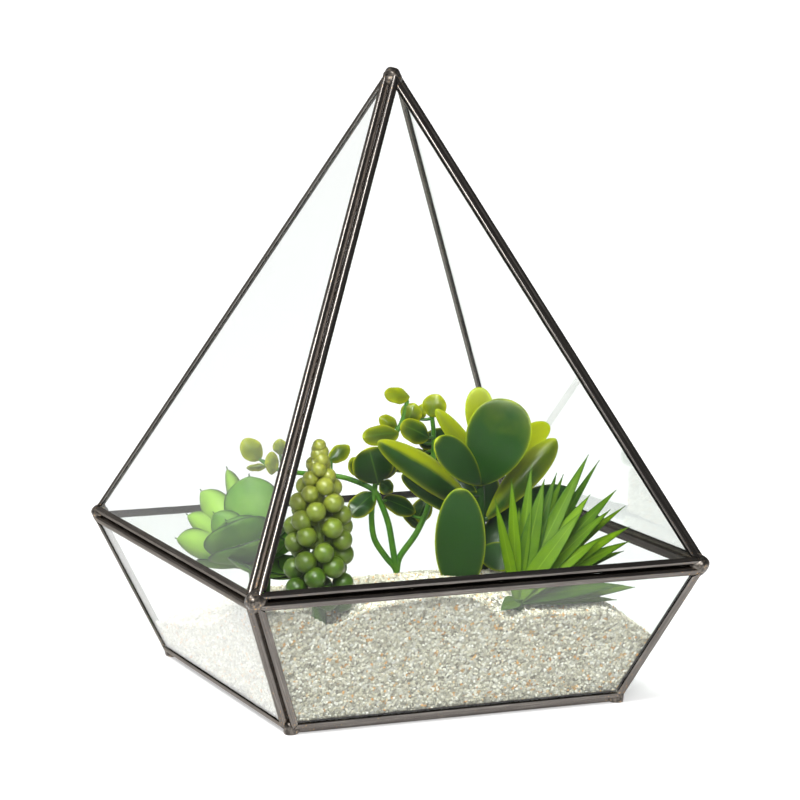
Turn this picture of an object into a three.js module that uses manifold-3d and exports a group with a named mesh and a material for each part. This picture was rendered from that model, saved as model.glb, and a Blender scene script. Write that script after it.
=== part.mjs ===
// Diamond-shaped leaded glass terrarium holding a heap of quartz sand and five small faux plants.
// Millimetres, +Z up. The origin is on the surface that the terrarium stands on, under its apex.
import * as THREE from 'three';
import { mergeVertices } from 'three/addons/utils/BufferGeometryUtils.js';
import Module from 'manifold-3d';

const wasm = await Module();
wasm.setup();

// ---- driving dimensions ----
const BELT_WIDTH = 200;        // across the widest level, corner edge to corner edge
const BASE_WIDTH = 149;        // across the foot
const BELT_HEIGHT = 61.5;      // from the table to the widest level
const APEX_HEIGHT = 263;       // from the table to the point where the corner edges meet
const CAME_WIDTH = 3;          // how far a came covers its pane
const CAME_THICKNESS = 3.3;    // across both flanges
const SPINE = 0.8;             // wall along the edge of the pane
const GLASS = 1.7;             // pane thickness
const GAP = 0.3;               // clearance between neighbouring pieces
const JOINT_RADIUS = 4.9;      // solder lump at the apex and the belt corners
const JOINT_INSET = 2;         // how far the lump sits in from the corner, each way
const APEX_JOINT_INSET = 4.6;  // how far the lump hangs below the apex
const FOOT_JOINT_RADIUS = 4.2; // solder lump at a foot corner
const FOOT_JOINT_INSET = 1.2;
const SAND_CLEARANCE = 0.3;

const SLOT = GLASS + 2 * GAP;
const HALF_BELT = BELT_WIDTH / 2;
const HALF_BASE = BASE_WIDTH / 2;
const BASE_LEVEL = CAME_THICKNESS / 2;

// ---- materials ----
function finish(color, roughness, metalness = 0) {
  return () => new THREE.MeshStandardMaterial({ color, roughness, metalness });
}

function clearGlass() {
  const look = { color: '#dfeee9', roughness: 0.03, transparent: true, opacity: 0.25 };
  return new THREE.MeshStandardMaterial(look);
}

const leadCame = finish('#3b3632', 0.45, 0.8);
const solder = finish('#55504a', 0.5, 0.8);
const quartzSand = finish('#c9c6b4', 0.95);
const rosetteLeaf = finish('#7fb35c', 0.5);
const berrySkin = finish('#7f9a2a', 0.3);
const roundLeaf = finish('#4c7a2a', 0.4);
const jadeLeaf = finish('#3f6e2c', 0.35);
const aloeLeaf = finish('#74b21e', 0.45);

// ---- the group and its helpers ----
const terrarium = new THREE.Group();

function add(name, geometry, material) {
  const mesh = new THREE.Mesh(geometry, material());
  mesh.name = name;
  terrarium.add(mesh);
  return mesh;
}

function vec(x, y, z) {
  return new THREE.Vector3(x, y, z);
}

function toSolid(geometry) {
  const bare = geometry.index ? geometry.toNonIndexed() : geometry.clone();
  bare.deleteAttribute('normal');
  bare.deleteAttribute('uv');
  const merged = mergeVertices(bare, 1e-4);
  return new wasm.Manifold(new wasm.Mesh({
    numProp: 3,
    vertProperties: new Float32Array(merged.attributes.position.array),
    triVerts: new Uint32Array(merged.index.array),
  }));
}

function toGeometry(solid) {
  const mesh = solid.getMesh();
  const geometry = new THREE.BufferGeometry();
  geometry.setAttribute('position', new THREE.BufferAttribute(new Float32Array(mesh.vertProperties), 3));
  geometry.setIndex(new THREE.BufferAttribute(new Uint32Array(mesh.triVerts), 1));
  return geometry;
}

// The one body that stays once sealed hollows are filled and loose scraps dropped.
function largestBody(solid) {
  return solid.decompose().reduce((best, body) => (body.volume() > best.volume() ? body : best));
}

function fuse(geometries) {
  return largestBody(geometries.map(toSolid).reduce((whole, part) => whole.add(part)));
}

// Moves every vertex of a geometry by a rule.
function remap(geometry, rule) {
  const positions = geometry.attributes.position;
  const point = new THREE.Vector3();
  for (let i = 0; i < positions.count; i += 1) {
    const moved = rule(point.fromBufferAttribute(positions, i));
    positions.setXYZ(i, moved.x, moved.y, moved.z);
  }
  return geometry;
}

function ball(radius, centre, detail = 1) {
  return new THREE.IcosahedronGeometry(radius, detail).translate(centre.x, centre.y, centre.z);
}

// ---- the diamond's corners and panes ----
const corners = { apex: vec(0, 0, APEX_HEIGHT) };
const signs = { fl: [-1, -1], fr: [1, -1], br: [1, 1], bl: [-1, 1] };
for (const [key, [sx, sy]] of Object.entries(signs)) {
  corners[`belt_${key}`] = vec(sx * HALF_BELT, sy * HALF_BELT, BELT_HEIGHT);
  corners[`foot_${key}`] = vec(sx * HALF_BASE, sy * HALF_BASE, BASE_LEVEL);
}

// Each face runs counter-clockwise seen from outside; side names follow the corner order.
const faces = {
  upper_front: { keys: ['belt_fl', 'belt_fr', 'apex'], sides: ['belt', 'right', 'left'] },
  upper_right: { keys: ['belt_fr', 'belt_br', 'apex'], sides: ['belt', 'back', 'front'] },
  upper_back: { keys: ['belt_br', 'belt_bl', 'apex'], sides: ['belt', 'left', 'right'], open: true },
  upper_left: { keys: ['belt_bl', 'belt_fl', 'apex'], sides: ['belt', 'front', 'back'] },
  lower_front: {
    keys: ['foot_fl', 'foot_fr', 'belt_fr', 'belt_fl'],
    sides: ['foot', 'right', 'belt', 'left'],
  },
  lower_right: {
    keys: ['foot_fr', 'foot_br', 'belt_br', 'belt_fr'],
    sides: ['foot', 'back', 'belt', 'front'],
  },
  lower_back: {
    keys: ['foot_br', 'foot_bl', 'belt_bl', 'belt_br'],
    sides: ['foot', 'left', 'belt', 'right'],
  },
  lower_left: {
    keys: ['foot_bl', 'foot_fl', 'belt_fl', 'belt_bl'],
    sides: ['foot', 'front', 'belt', 'back'],
  },
  base: { keys: ['foot_fl', 'foot_bl', 'foot_br', 'foot_fr'], sides: ['left', 'back', 'right', 'front'] },
};

for (const face of Object.values(faces)) {
  const [a, b, c] = face.keys.map((key) => corners[key]);
  face.normal = b.clone().sub(a).cross(c.clone().sub(a)).normalize();
}

// The solder lump at a corner sits a little in from the corner itself.
function lumpAt(key) {
  const corner = corners[key];
  if (key === 'apex') {
    return { radius: JOINT_RADIUS, centre: vec(0, 0, APEX_HEIGHT - APEX_JOINT_INSET) };
  }
  const isFoot = key.startsWith('foot');
  const radius = isFoot ? FOOT_JOINT_RADIUS : JOINT_RADIUS;
  const inset = isFoot ? FOOT_JOINT_INSET : JOINT_INSET;
  const x = corner.x - inset * Math.sign(corner.x);
  const y = corner.y - inset * Math.sign(corner.y);
  return { radius, centre: vec(x, y, corner.z) };
}

function lumpBall(key, extra = 0) {
  const { radius, centre } = lumpAt(key);
  return ball(radius + extra, centre);
}

// How far a came stands back from the edge it shares with the next face, so that the two just miss.
function standOff(face, from, to) {
  const isNeighbour = (other) => other !== face && other.keys.includes(from) && other.keys.includes(to);
  const neighbour = Object.values(faces).find(isNeighbour);
  const dihedral = Math.PI - face.normal.angleTo(neighbour.normal);
  return CAME_THICKNESS / 2 / Math.tan(dihedral / 2) + GAP / 2;
}

// The edges of a face, each with its own axes: along it, inwards across the pane, and outwards.
function edgesOf(face) {
  return face.keys.map((from, i) => {
    const to = face.keys[(i + 1) % face.keys.length];
    const before = face.keys[(i + face.keys.length - 1) % face.keys.length];
    const after = face.keys[(i + 2) % face.keys.length];
    const along = corners[to].clone().sub(corners[from]);
    const length = along.length();
    along.normalize();
    const inward = face.normal.clone().cross(along);
    const startAngle = along.angleTo(corners[before].clone().sub(corners[from]));
    const endAngle = along.clone().negate().angleTo(corners[after].clone().sub(corners[to]));
    const offset = standOff(face, from, to);
    return { from, to, along, inward, length, startAngle, endAngle, offset, side: face.sides[i] };
  });
}

// ---- came strips: a U section open towards the pane, mitred at both ends ----
function cameSection() {
  const half = CAME_THICKNESS / 2;
  const slot = SLOT / 2;
  const outline = [
    [0, -half], [CAME_WIDTH, -half], [CAME_WIDTH, -slot], [SPINE, -slot],
    [SPINE, slot], [CAME_WIDTH, slot], [CAME_WIDTH, half], [0, half],
  ];
  return new THREE.Shape(outline.map(([x, y]) => new THREE.Vector2(x, y)));
}

// How far from a corner a line of the strip starts: past the mitre and clear of the solder lump.
function setback(corner, direction, line, inset, angle) {
  const { radius, centre } = lumpAt(corner);
  const mitre = inset / Math.tan(angle / 2) + GAP / 2 / Math.sin(angle / 2);
  const toCentre = centre.clone().sub(line);
  const nearest = toCentre.dot(direction);
  const reach = (radius + 2 * GAP) ** 2 - toCentre.lengthSq() + nearest ** 2;
  return Math.max(mitre, reach > 0 ? nearest + Math.sqrt(reach) : 0);
}

function cameStrip(face, edge) {
  const block = new THREE.ExtrudeGeometry(cameSection(), { depth: 1, bevelEnabled: false });
  return remap(block, (p) => {
    const [corner, angle, outOfCorner] = p.z < 0.5
      ? [edge.from, edge.startAngle, 1]
      : [edge.to, edge.endAngle, -1];
    const inset = edge.offset + p.x;
    const direction = edge.along.clone().multiplyScalar(outOfCorner);
    const line = corners[corner].clone()
      .addScaledVector(edge.inward, inset)
      .addScaledVector(face.normal, p.y);
    return line.clone().addScaledVector(direction, setback(corner, direction, line, inset, angle));
  });
}

// ---- glass panes: the face less the cames' spines, with nipped corners ----
function clip(polygon, point, direction) {
  const inside = (p) => p.clone().sub(point).dot(direction) >= 0;
  const kept = [];
  polygon.forEach((p, i) => {
    const q = polygon[(i + 1) % polygon.length];
    if (inside(p)) {
      kept.push(p);
    }
    if (inside(p) !== inside(q)) {
      const step = q.clone().sub(p);
      kept.push(p.clone().addScaledVector(step, point.clone().sub(p).dot(direction) / step.dot(direction)));
    }
  });
  return kept;
}

function glassPane(face) {
  const edges = edgesOf(face);
  let outline = face.keys.map((key) => corners[key].clone());
  for (const edge of edges) {
    const line = corners[edge.from].clone().addScaledVector(edge.inward, edge.offset + SPINE + GAP);
    outline = clip(outline, line, edge.inward);
  }
  edges.forEach((edge, i) => {
    const previous = edges[(i + edges.length - 1) % edges.length];
    const bisector = edge.along.clone().sub(previous.along).normalize();
    const lump = lumpAt(edge.from);
    const nip = lump.centre.clone().addScaledVector(bisector, lump.radius + GAP);
    outline = clip(outline, nip, bisector);
  });
  const { along, inward } = edges[0];
  const origin = corners[edges[0].from];
  const flat = outline.map((p) => {
    const local = p.clone().sub(origin);
    return new THREE.Vector2(local.dot(along), local.dot(inward));
  });
  const geometry = new THREE.ExtrudeGeometry(new THREE.Shape(flat), { depth: GLASS, bevelEnabled: false });
  geometry.translate(0, 0, -GLASS / 2);
  const placed = new THREE.Matrix4().makeBasis(along, inward, face.normal).setPosition(origin);
  return geometry.applyMatrix4(placed);
}

for (const [name, face] of Object.entries(faces)) {
  if (!face.open) {
    edgesOf(face).forEach((edge) => {
      add(`came_${name}_${edge.side}`, cameStrip(face, edge), leadCame);
    });
    add(`glass_${name}`, glassPane(face), clearGlass);
  }
}

// ---- solder joints, flat underneath where they stand on the table ----
const belowTable = new THREE.BoxGeometry(2 * BELT_WIDTH, 2 * BELT_WIDTH, BELT_WIDTH)
  .translate(0, 0, -BELT_WIDTH / 2);
for (const key of Object.keys(corners)) {
  add(`solder_${key}`, toGeometry(toSolid(lumpBall(key)).subtract(toSolid(belowTable))), solder);
}

// ---- sand ----
const SAND_TOP = 56;            // level at the front left corner
const SAND_BOTTOM = CAME_THICKNESS + SAND_CLEARANCE;
const SAND_CELLS = 14;
const WALL_SLOPE = (HALF_BELT - HALF_BASE) / (BELT_HEIGHT - BASE_LEVEL);
const WALL_INSET = (CAME_THICKNESS / 2 + SAND_CLEARANCE) * Math.hypot(1, WALL_SLOPE);

// A ramp that is zero below zero, rises with slope one above it and bends softly between.
function softRamp(value, softness) {
  return (value + Math.hypot(value, softness)) / 2;
}

function dip(x, y, centreX, centreY, radius, depth) {
  const distance = Math.hypot(x - centreX, y - centreY) / radius;
  return depth * Math.exp(-distance * distance);
}

function sandHeight(x, y) {
  const leftRamp = THREE.MathUtils.smoothstep(y, -95, -10);
  const level = SAND_TOP
    - 0.24 * softRamp(y + 45, 14)
    - 0.28 * leftRamp * softRamp(-x - 35, 14)
    - 0.95 * softRamp(x - 57, 10)
    - dip(x, y, -60, -70, 19, 15)
    - dip(x, y, -64, -93, 9, 4)
    - dip(x, y, 25, -82, 20, 6)
    - dip(x, y, 14, -92, 12, 7)
    - dip(x, y, 48, -92, 22, 9)
    + 0.8 * Math.sin(x / 9) * Math.cos(y / 11);
  return 9 + softRamp(level - 9, 6);
}

function halfWidthAt(z) {
  return HALF_BASE + (z - BASE_LEVEL) * WALL_SLOPE - WALL_INSET;
}

const sandBlock = remap(new THREE.BoxGeometry(2, 2, 2, SAND_CELLS, SAND_CELLS, 1), (p) => {
  let half = halfWidthAt(SAND_BOTTOM);
  if (p.z < 0) {
    return vec(p.x * half, p.y * half, SAND_BOTTOM);
  }
  let level = SAND_TOP;
  for (let pass = 0; pass < 8; pass += 1) {
    half = halfWidthAt(level);
    level = sandHeight(p.x * half, p.y * half);
  }
  return vec(p.x * half, p.y * half, level);
});

// ---- plant builders ----
// A closed sheet with a grid of points; both faces are split into triangles alike.
function leafGeometry(rows, columns, surface) {
  const positions = [];
  const index = [];
  const stride = columns + 1;
  for (const side of [1, -1]) {
    for (let i = 0; i <= rows; i += 1) {
      for (let j = 0; j <= columns; j += 1) {
        positions.push(...surface(i / rows, 2 * j / columns - 1, side).toArray());
      }
    }
  }
  const under = stride * (rows + 1);
  const quad = (a, b, c, d) => index.push(a, b, c, a, c, d);
  for (let i = 0; i < rows; i += 1) {
    for (let j = 0; j < columns; j += 1) {
      const a = i * stride + j;
      const [b, c, d] = [a + 1, a + stride + 1, a + stride];
      quad(a, b, c, d);
      index.push(under + a, under + c, under + b, under + a, under + d, under + c);
    }
    const [left, right] = [i * stride, i * stride + columns];
    quad(left, left + stride, under + left + stride, under + left);
    quad(right, under + right, under + right + stride, right + stride);
  }
  for (let j = 0; j < columns; j += 1) {
    const end = rows * stride + j;
    quad(j, under + j, under + j + 1, j + 1);
    quad(end, end + 1, under + end + 1, under + end);
  }
  const geometry = new THREE.BufferGeometry();
  geometry.setAttribute('position', new THREE.BufferAttribute(new Float32Array(positions), 3));
  geometry.setIndex(index);
  return geometry;
}

// A leaf from its root to its tip. `up` is the way its upper face looks, `bow` lifts its middle,
// `cup` lifts its rims, and `outline` gives its half width from 0 to 1 along its length.
function leaf({ root, tip, up, width, thickness, bow = 0, cup = 0, outline, rows = 4, columns = 2 }) {
  const start = vec(...root);
  const span = vec(...tip).sub(start);
  const side = span.clone().cross(vec(...up)).normalize();
  const lift = side.clone().cross(span).normalize();
  return leafGeometry(rows, columns, (along, across, face) => {
    const tangent = span.clone().addScaledVector(lift, 4 * bow * (1 - 2 * along));
    const normal = side.clone().cross(tangent).normalize();
    const half = Math.max(width / 2 * outline(along), thickness / 2);
    const rim = 1 - 0.45 * across * across;
    return start.clone()
      .addScaledVector(span, along)
      .addScaledVector(lift, 4 * bow * along * (1 - along))
      .addScaledVector(side, across * half)
      .addScaledVector(normal, cup * across * across * outline(along) + face * rim * thickness / 2);
  });
}

const roundOutline = (u) => Math.sqrt(Math.max(4 * u * (1 - u), 0));
const ovalOutline = (u) => roundOutline(0.06 + 0.94 * u);
const cutOutline = (u) => roundOutline(0.13 + 0.87 * u);
const obovateOutline = (u) => 2.436 * u ** 0.85 * Math.sqrt(Math.max(1 - u, 0));
const shellOutline = (u) => Math.max(roundOutline(0.1 + 0.9 * Math.min(u / 0.96, 1) ** 2), 0.04);
const lanceOutline = (u) => (u < 0.4
  ? 0.5 + 0.5 * Math.sin(Math.PI / 2 * u / 0.4)
  : 1 - ((u - 0.4) / 0.6) ** 1.6);

function stem(points, radius, steps = 6) {
  const ring = new THREE.Shape();
  ring.absarc(0, 0, radius, 0, 2 * Math.PI);
  const path = new THREE.CatmullRomCurve3(points.map((p) => vec(...p)));
  return new THREE.ExtrudeGeometry(ring, { curveSegments: 3, steps, bevelEnabled: false, extrudePath: path });
}

// Sinks a stem's foot into the sand and keeps the plain hole that it stands in.
const stemHoles = [];
const ROOT_DEPTH = 14;

function foot(x, y, radius, top = sandHeight(x, y) + 1.5) {
  const level = sandHeight(x, y);
  const depth = top - level + ROOT_DEPTH;
  const hole = new THREE.CylinderGeometry(radius + GAP, radius + GAP, ROOT_DEPTH + 30, 10)
    .rotateX(Math.PI / 2);
  stemHoles.push(hole.translate(x, y, level + 15 - ROOT_DEPTH / 2 - GAP));
  const peg = new THREE.CylinderGeometry(radius, radius, depth, 8).rotateX(Math.PI / 2);
  return peg.translate(x, y, top - depth / 2);
}

// The sand's surface seen as a place to stand on.
function onSand(x, y, above = 0) {
  return [x, y, sandHeight(x, y) + above];
}

// Stems that share a foot, and leaves hung from the nearest stem by a short stalk.
function sprig(stems, radius, stalkRadius, leaves) {
  const curves = stems.map((points) => new THREE.CatmullRomCurve3(points.map((p) => vec(...p))));
  const spots = curves.flatMap((curve) => curve.getSpacedPoints(24));
  const parts = stems.map((points) => stem(points, radius));
  for (const shape of leaves) {
    const root = vec(...shape.root);
    const anchor = spots.reduce((best, p) => (p.distanceTo(root) < best.distanceTo(root) ? p : best));
    const sunk = root.clone().lerp(vec(...shape.tip), 0.08);
    parts.push(stem([anchor.toArray(), sunk.toArray()], stalkRadius, 1));
    parts.push(leaf(shape));
  }
  return parts;
}

// ---- plant 1: a rosette of broad shells lying towards the left pane ----
const ROSETTE_HEART = [-65, -16, 60];
const ROSETTE_FOOT = [-64, -15];
const ROSETTE_FOCUS = vec(-88, 5, 93);
const ROSETTE_STALK = 3;
const FRONT_LEAVES = 10;
const awayFromViewer = [0.42, 0.85, 0.15];
const rosetteLeaves = [
  // tip, width: those that face the front, then those that face the middle of the rosette
  [[-80.5, 11, 85.5], 15], [[-86, 13, 75], 12], [[-91, 13, 65], 14], [[-65, -6, 94], 24], [[-68, 13, 94], 8],
  [[-81, -6, 79], 15], [[-84, -30, 79], 30], [[-81.5, -38, 71], 32], [[-80, -18, 78], 22],
  [[-76, -42, 61], 26],
  [[-48, -22, 72], 20], [[-52, -35, 57], 24], [[-50, 0, 88], 22], [[-44, 2, 72], 22], [[-58, 16, 76], 20],
  [[-72, 18, 62], 18], [[-88, -2, 58], 18], [[-58, 12, 58], 20],
];
const rosetteParts = rosetteLeaves.map(([tip, width], i) => {
  const middle = vec(...ROSETTE_HEART).lerp(vec(...tip), 0.5);
  const up = i < FRONT_LEAVES ? awayFromViewer : ROSETTE_FOCUS.clone().sub(middle).toArray();
  const rows = i < FRONT_LEAVES ? 4 : 3;
  const form = { thickness: 2, bow: -3, cup: 3, outline: shellOutline, rows };
  return leaf({ root: ROSETTE_HEART, tip, up, width, ...form });
});
rosetteParts.push(ball(6, vec(...ROSETTE_HEART)));
const rosetteLine = [ROSETTE_HEART, onSand(...ROSETTE_FOOT, 8), onSand(...ROSETTE_FOOT)];
rosetteParts.push(stem(rosetteLine, ROSETTE_STALK, 4));
rosetteParts.push(foot(...ROSETTE_FOOT, ROSETTE_STALK));
add('plant_rosette', toGeometry(fuse(rosetteParts)), rosetteLeaf);

// ---- plant 2: a spike of berries, each sunk into a slim core ----
const SPIKE = { x: -59, y: -67, bottom: 46, top: 119, wide: 14.6, narrow: 4.2, count: 50 };
const GOLDEN_ANGLE = Math.PI * (3 - Math.sqrt(5));
const spikeParts = [];
for (let i = 0; i < SPIKE.count; i += 1) {
  const along = ((i + 0.5) / SPIKE.count) ** 0.9;
  const berry = 4.5 - 1.8 * along ** 2.2;
  const taper = THREE.MathUtils.smoothstep(along, 0.5, 1);
  const reach = THREE.MathUtils.lerp(SPIKE.wide, SPIKE.narrow, taper) - berry;
  const turn = i * GOLDEN_ANGLE;
  const level = THREE.MathUtils.lerp(SPIKE.bottom + 5, SPIKE.top - 3, along);
  const place = [SPIKE.x + reach * Math.cos(turn), SPIKE.y + reach * Math.sin(turn), level];
  spikeParts.push(new THREE.OctahedronGeometry(berry, 1).rotateZ(turn).translate(...place));
}
const coreProfile = [[0, 0], [7, 2], [9, 20], [8, 42], [3, 62], [0, 68]];
const coreLine = coreProfile.map(([r, z]) => new THREE.Vector2(r, z));
const core = new THREE.LatheGeometry(coreLine, 9).rotateX(Math.PI / 2);
spikeParts.push(core.translate(SPIKE.x, SPIKE.y, SPIKE.bottom + 3));
spikeParts.push(foot(SPIKE.x, SPIKE.y, 2.5, SPIKE.bottom + 8));
add('plant_berry_spike', toGeometry(fuse(spikeParts)), berrySkin);

// ---- plant 3: branching stems with small round leaves ----
const towardsViewer = [-0.36, -0.8, 0.45];
const ROUND_FOOT = [-3, -15];
const roundFork = onSand(...ROUND_FOOT, 2);
const roundStems = [
  [onSand(...ROUND_FOOT, -2), roundFork, [-7.6, -15, 56], [-13, -15, 64], [-14.5, -15, 72], [-14.3, -15, 79],
    [-12.7, -14, 86], [-11, -13, 96], [-4, -12, 106], [1, -11, 114], [3.5, -10, 122]],
  [roundFork, [-5.5, -16, 62], [-7.3, -16, 71], [-10, -15, 79], [-13, -14, 85], [-18, -7, 88], [-25, -2, 90],
    [-36, 10, 90], [-42, 19, 90], [-47, 26, 93]],
  [roundFork, [-1.5, -15, 56], [5, -16, 65], [9.4, -16, 73], [11.6, -16, 80], [13.7, -14, 90],
    [15, -12, 106], [14, -12, 116]],
];
const roundLeaves = [
  // root, tip, width
  [[4.5, -10, 123.5], [-7, -10, 125.5], 7.5], [[13, -12, 115], [17.5, -12, 124], 10.5],
  [[3, -12, 113], [6, -12, 121], 9.5], [[11, -16, 106.5], [-2, -16, 113], 10.5],
  [[-2, -14, 109], [-18.5, -14, 108], 9.5], [[-1, -10, 111], [-8.5, -8, 115], 6.5],
  [[-13, -18, 89], [-19, -22, 105], 18], [[-10, -15, 90], [-7, -18, 103], 10],
  [[-18, -12, 91], [-22.5, -12, 99.5], 7], [[-13, -14, 84], [-25, -16, 75.5], 10],
  [[-8, -12, 81], [6, -14, 74.5], 8.5], [[2, -10, 75], [10.5, -8, 66], 4.5],
  [[14, -8, 79], [9, -8, 69], 9], [[11, -6, 102], [29.5, -4, 105.5], 10],
  [[4, -8, 101], [-1, -8, 92], 9], [[21, -6, 93], [33, -4, 87.5], 9], [[0, -6, 98], [-6, -4, 105], 9],
  [[9, -10, 113], [11, -9, 120], 5], [[13, -10, 98], [2, -6, 96], 9], [[14, -11, 96], [22, -8, 100], 9],
  [[-27, 2, 96], [-18, 2, 102], 7.5], [[-30, 1, 91], [-30, 2, 84], 7],
  [[-47.5, 27, 93.5], [-54.5, 30, 102], 9.5], [[-2, -8, 92], [4.5, -8, 98.5], 9],
  [[-11, -16, 89], [-6, -17, 84.5], 7], [[14, -5, 81], [8.5, -3, 89.5], 8],
  [[12, -6, 99], [22, -4, 93], 9], [[2, -5, 95], [11, -5, 92], 8], [[-45, 20, 88], [-45, 20, 98], 6],
  [[-42.7, 16, 97], [-42.7, 16, 104], 6.5], [[-46, 24, 91], [-53.5, 28, 90], 3.5],
];
const roundParts = sprig(roundStems, 1.25, 0.75, roundLeaves.map(([root, tip, width]) => ({
  root, tip, width, up: towardsViewer, thickness: 1.3, bow: 1, cup: -1, outline: roundOutline, rows: 3,
})));
roundParts.push(foot(...ROUND_FOOT, 2));
add('plant_round_leaved', toGeometry(fuse(roundParts)), roundLeaf);

// ---- plant 4: a thick stem with large fleshy leaves ----
const JADE_FOOT = [28, -36];
const jadeStems = [[onSand(...JADE_FOOT, -2), [27, -36, 66], [26, -36, 88], [27, -33, 104]]];
const jadeLeaves = [
  // root, tip, width, bow, cup, outline
  [[26, -38, 89], [35.5, -46, 125.5], 27, 4, 2, obovateOutline],
  [[28, -31, 103], [28.5, -28, 129], 12, 1, 1, obovateOutline],
  [[25, -39, 89], [2, -44, 111], 14, 1, 1, obovateOutline],
  [[26, -35, 97], [8, -30, 121], 8, 2, -1, ovalOutline],
  [[17, -40, 84], [-24, -44, 111.5], 13.5, 6, -4, ovalOutline],
  [[16, -39, 79], [-9, -34, 95], 10, 2, -2, ovalOutline],
  [onSand(9.5, -53, 0.6), [7, -58, 92.5], 21, 2, 1, cutOutline],
  [[28, -36, 73], [59, -40, 107], 13, 3, -3, obovateOutline],
  [[30, -33, 92], [62, -26, 111], 11, 2, 1, obovateOutline],
  [[30, -32, 60], [75, -25, 81], 22, 6, -1, ovalOutline],
  [[24, -37, 86], [15, -27, 89], 8, 1, 1, obovateOutline],
  [[23, -40, 61.5], [34, -54, 58.5], 13, 1, 1, obovateOutline],
  [[28, -32, 70], [36, -8, 88], 20, 3, 1, obovateOutline],
];
const jadeParts = sprig(jadeStems, 2, 1.2, jadeLeaves.map(([root, tip, width, bow, cup, outline]) => ({
  root, tip, width, up: towardsViewer, thickness: 2.2, bow, cup, outline,
})));
jadeParts.push(foot(...JADE_FOOT, 2.2));
add('plant_fleshy_leaved', toGeometry(fuse(jadeParts)), jadeLeaf);

// ---- plant 5: a tuft of channelled blades ----
const ALOE_FOOT = [23, -80];
const ALOE_STALK = 3;
const aloeHeart = onSand(...ALOE_FOOT, 2.6);
const aloeBlades = [
  // tip, width, bow
  [[12.5, -80, 91.5], 5, 1], [[23, -73, 98], 5.5, 1], [[34.5, -68, 102], 6, 2], [[38.5, -72, 96.5], 8.5, 2],
  [[46, -68, 98], 6.5, 3], [[52, -62, 96], 6, 3], [[60, -69, 105], 7, 5], [[67, -65, 101.5], 5, 6],
  [[65.5, -58, 93.5], 6, 5], [[57.5, -76, 89.5], 8, 4], [[51, -82, 84], 8.5, 4], [[71, -73, 90], 7.5, 5],
  [[66, -78, 83], 7, 5], [[78, -68, 82], 5, 7], [[76.5, -75, 74.5], 7, 7], [[59.5, -82.5, 72], 8, 4],
  [[75, -78, 69], 7.5, 6], [[77, -69, 63], 6, 7], [[79, -76, 49.5], 8.5, 3], [[70, -83, 52.5], 7, 4],
  [[68, -81, 46], 5.5, 2], [[12.5, -87, 47.2], 7, 1], [[30, -66, 84], 7, 2], [[42, -62, 84], 7, 3],
  [[54, -60, 76], 7, 4], [[62, -62, 66], 7, 5], [[44, -64, 66], 7, 4], [[32, -62, 66], 7, 3],
];
const aloeParts = aloeBlades.map(([tip, width, bow]) => leaf({
  root: aloeHeart,
  tip,
  up: [-0.35, -0.8, 0.6],
  width,
  thickness: 1.3,
  bow: bow / 2,
  cup: 1.2,
  outline: lanceOutline,
  rows: 3,
}));
aloeParts.push(ball(ALOE_STALK, vec(...aloeHeart)));
aloeParts.push(foot(...ALOE_FOOT, ALOE_STALK));
add('plant_aloe_tuft', toGeometry(fuse(aloeParts)), aloeLeaf);

// ---- the sand, with a plain hole round every foot, and clear of the solder inside the glass ----
const footKeys = Object.keys(corners).filter((key) => key.startsWith('foot'));
const hollows = [...stemHoles, ...footKeys.map((key) => lumpBall(key, GAP))];
const sand = hollows.reduce((bed, hollow) => bed.subtract(toSolid(hollow)), toSolid(sandBlock));
add('sand_bed', toGeometry(sand), quartzSand);

export default terrarium;
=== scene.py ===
"""A leaded glass terrarium on a pale floor: dark came, clear panes, quartz sand and five faux plants."""

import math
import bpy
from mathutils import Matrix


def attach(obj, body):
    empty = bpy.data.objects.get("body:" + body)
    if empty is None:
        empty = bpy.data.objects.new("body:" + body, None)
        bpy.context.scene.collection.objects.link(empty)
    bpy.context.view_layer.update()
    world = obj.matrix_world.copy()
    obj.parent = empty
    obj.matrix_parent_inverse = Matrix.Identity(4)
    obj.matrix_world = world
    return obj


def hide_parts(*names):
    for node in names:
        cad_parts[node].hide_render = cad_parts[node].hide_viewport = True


bl_info = {
    "name": "Glass terrarium",
    "version": (1, 0, 0),
    "blender": (4, 5, 0),
    "location": "View3D > Sidebar > Terrarium",
    "description": "Builds a diamond-shaped leaded glass terrarium with sand and small faux succulents",
    "category": "Add Mesh",
}

from functools import partial

import bpy
import numpy as np
from bpy.props import FloatProperty, FloatVectorProperty, IntProperty, PointerProperty
from mathutils import Matrix

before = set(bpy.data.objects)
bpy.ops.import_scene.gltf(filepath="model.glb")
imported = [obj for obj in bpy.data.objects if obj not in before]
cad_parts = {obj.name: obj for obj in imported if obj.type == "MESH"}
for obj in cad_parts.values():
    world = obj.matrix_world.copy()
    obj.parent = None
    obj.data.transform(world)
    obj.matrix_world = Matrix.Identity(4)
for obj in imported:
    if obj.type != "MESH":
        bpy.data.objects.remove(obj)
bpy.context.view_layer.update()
MM = 0.001
# A full turn, as the waves and the random draws round it.
WAVE_TURN, DRAWN_TURN = 6.283, 6.28


# ---------------------------------------------------------------- settings that a user would change


def to_linear(hex_colour):
    """An sRGB hex colour as linear RGBA."""
    channels = [int(hex_colour[i:i + 2], 16) / 255 for i in (1, 3, 5)]
    linear = [c / 12.92 if c <= 0.04045 else ((c + 0.055) / 1.055) ** 2.4 for c in channels]
    return (*linear, 1.0)


def colour_setting(name, description, hex_colour):
    return FloatVectorProperty(name=name, description=description, subtype="COLOR", size=4, min=0, max=1,
                               default=to_linear(hex_colour))


def number_setting(name, description, default, kind=FloatProperty, **more):
    return kind(name=name, description=description, default=default, min=0, **more)


def length_setting(name, description, millimetres):
    return number_setting(name, description, millimetres * MM, unit="LENGTH")


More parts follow.
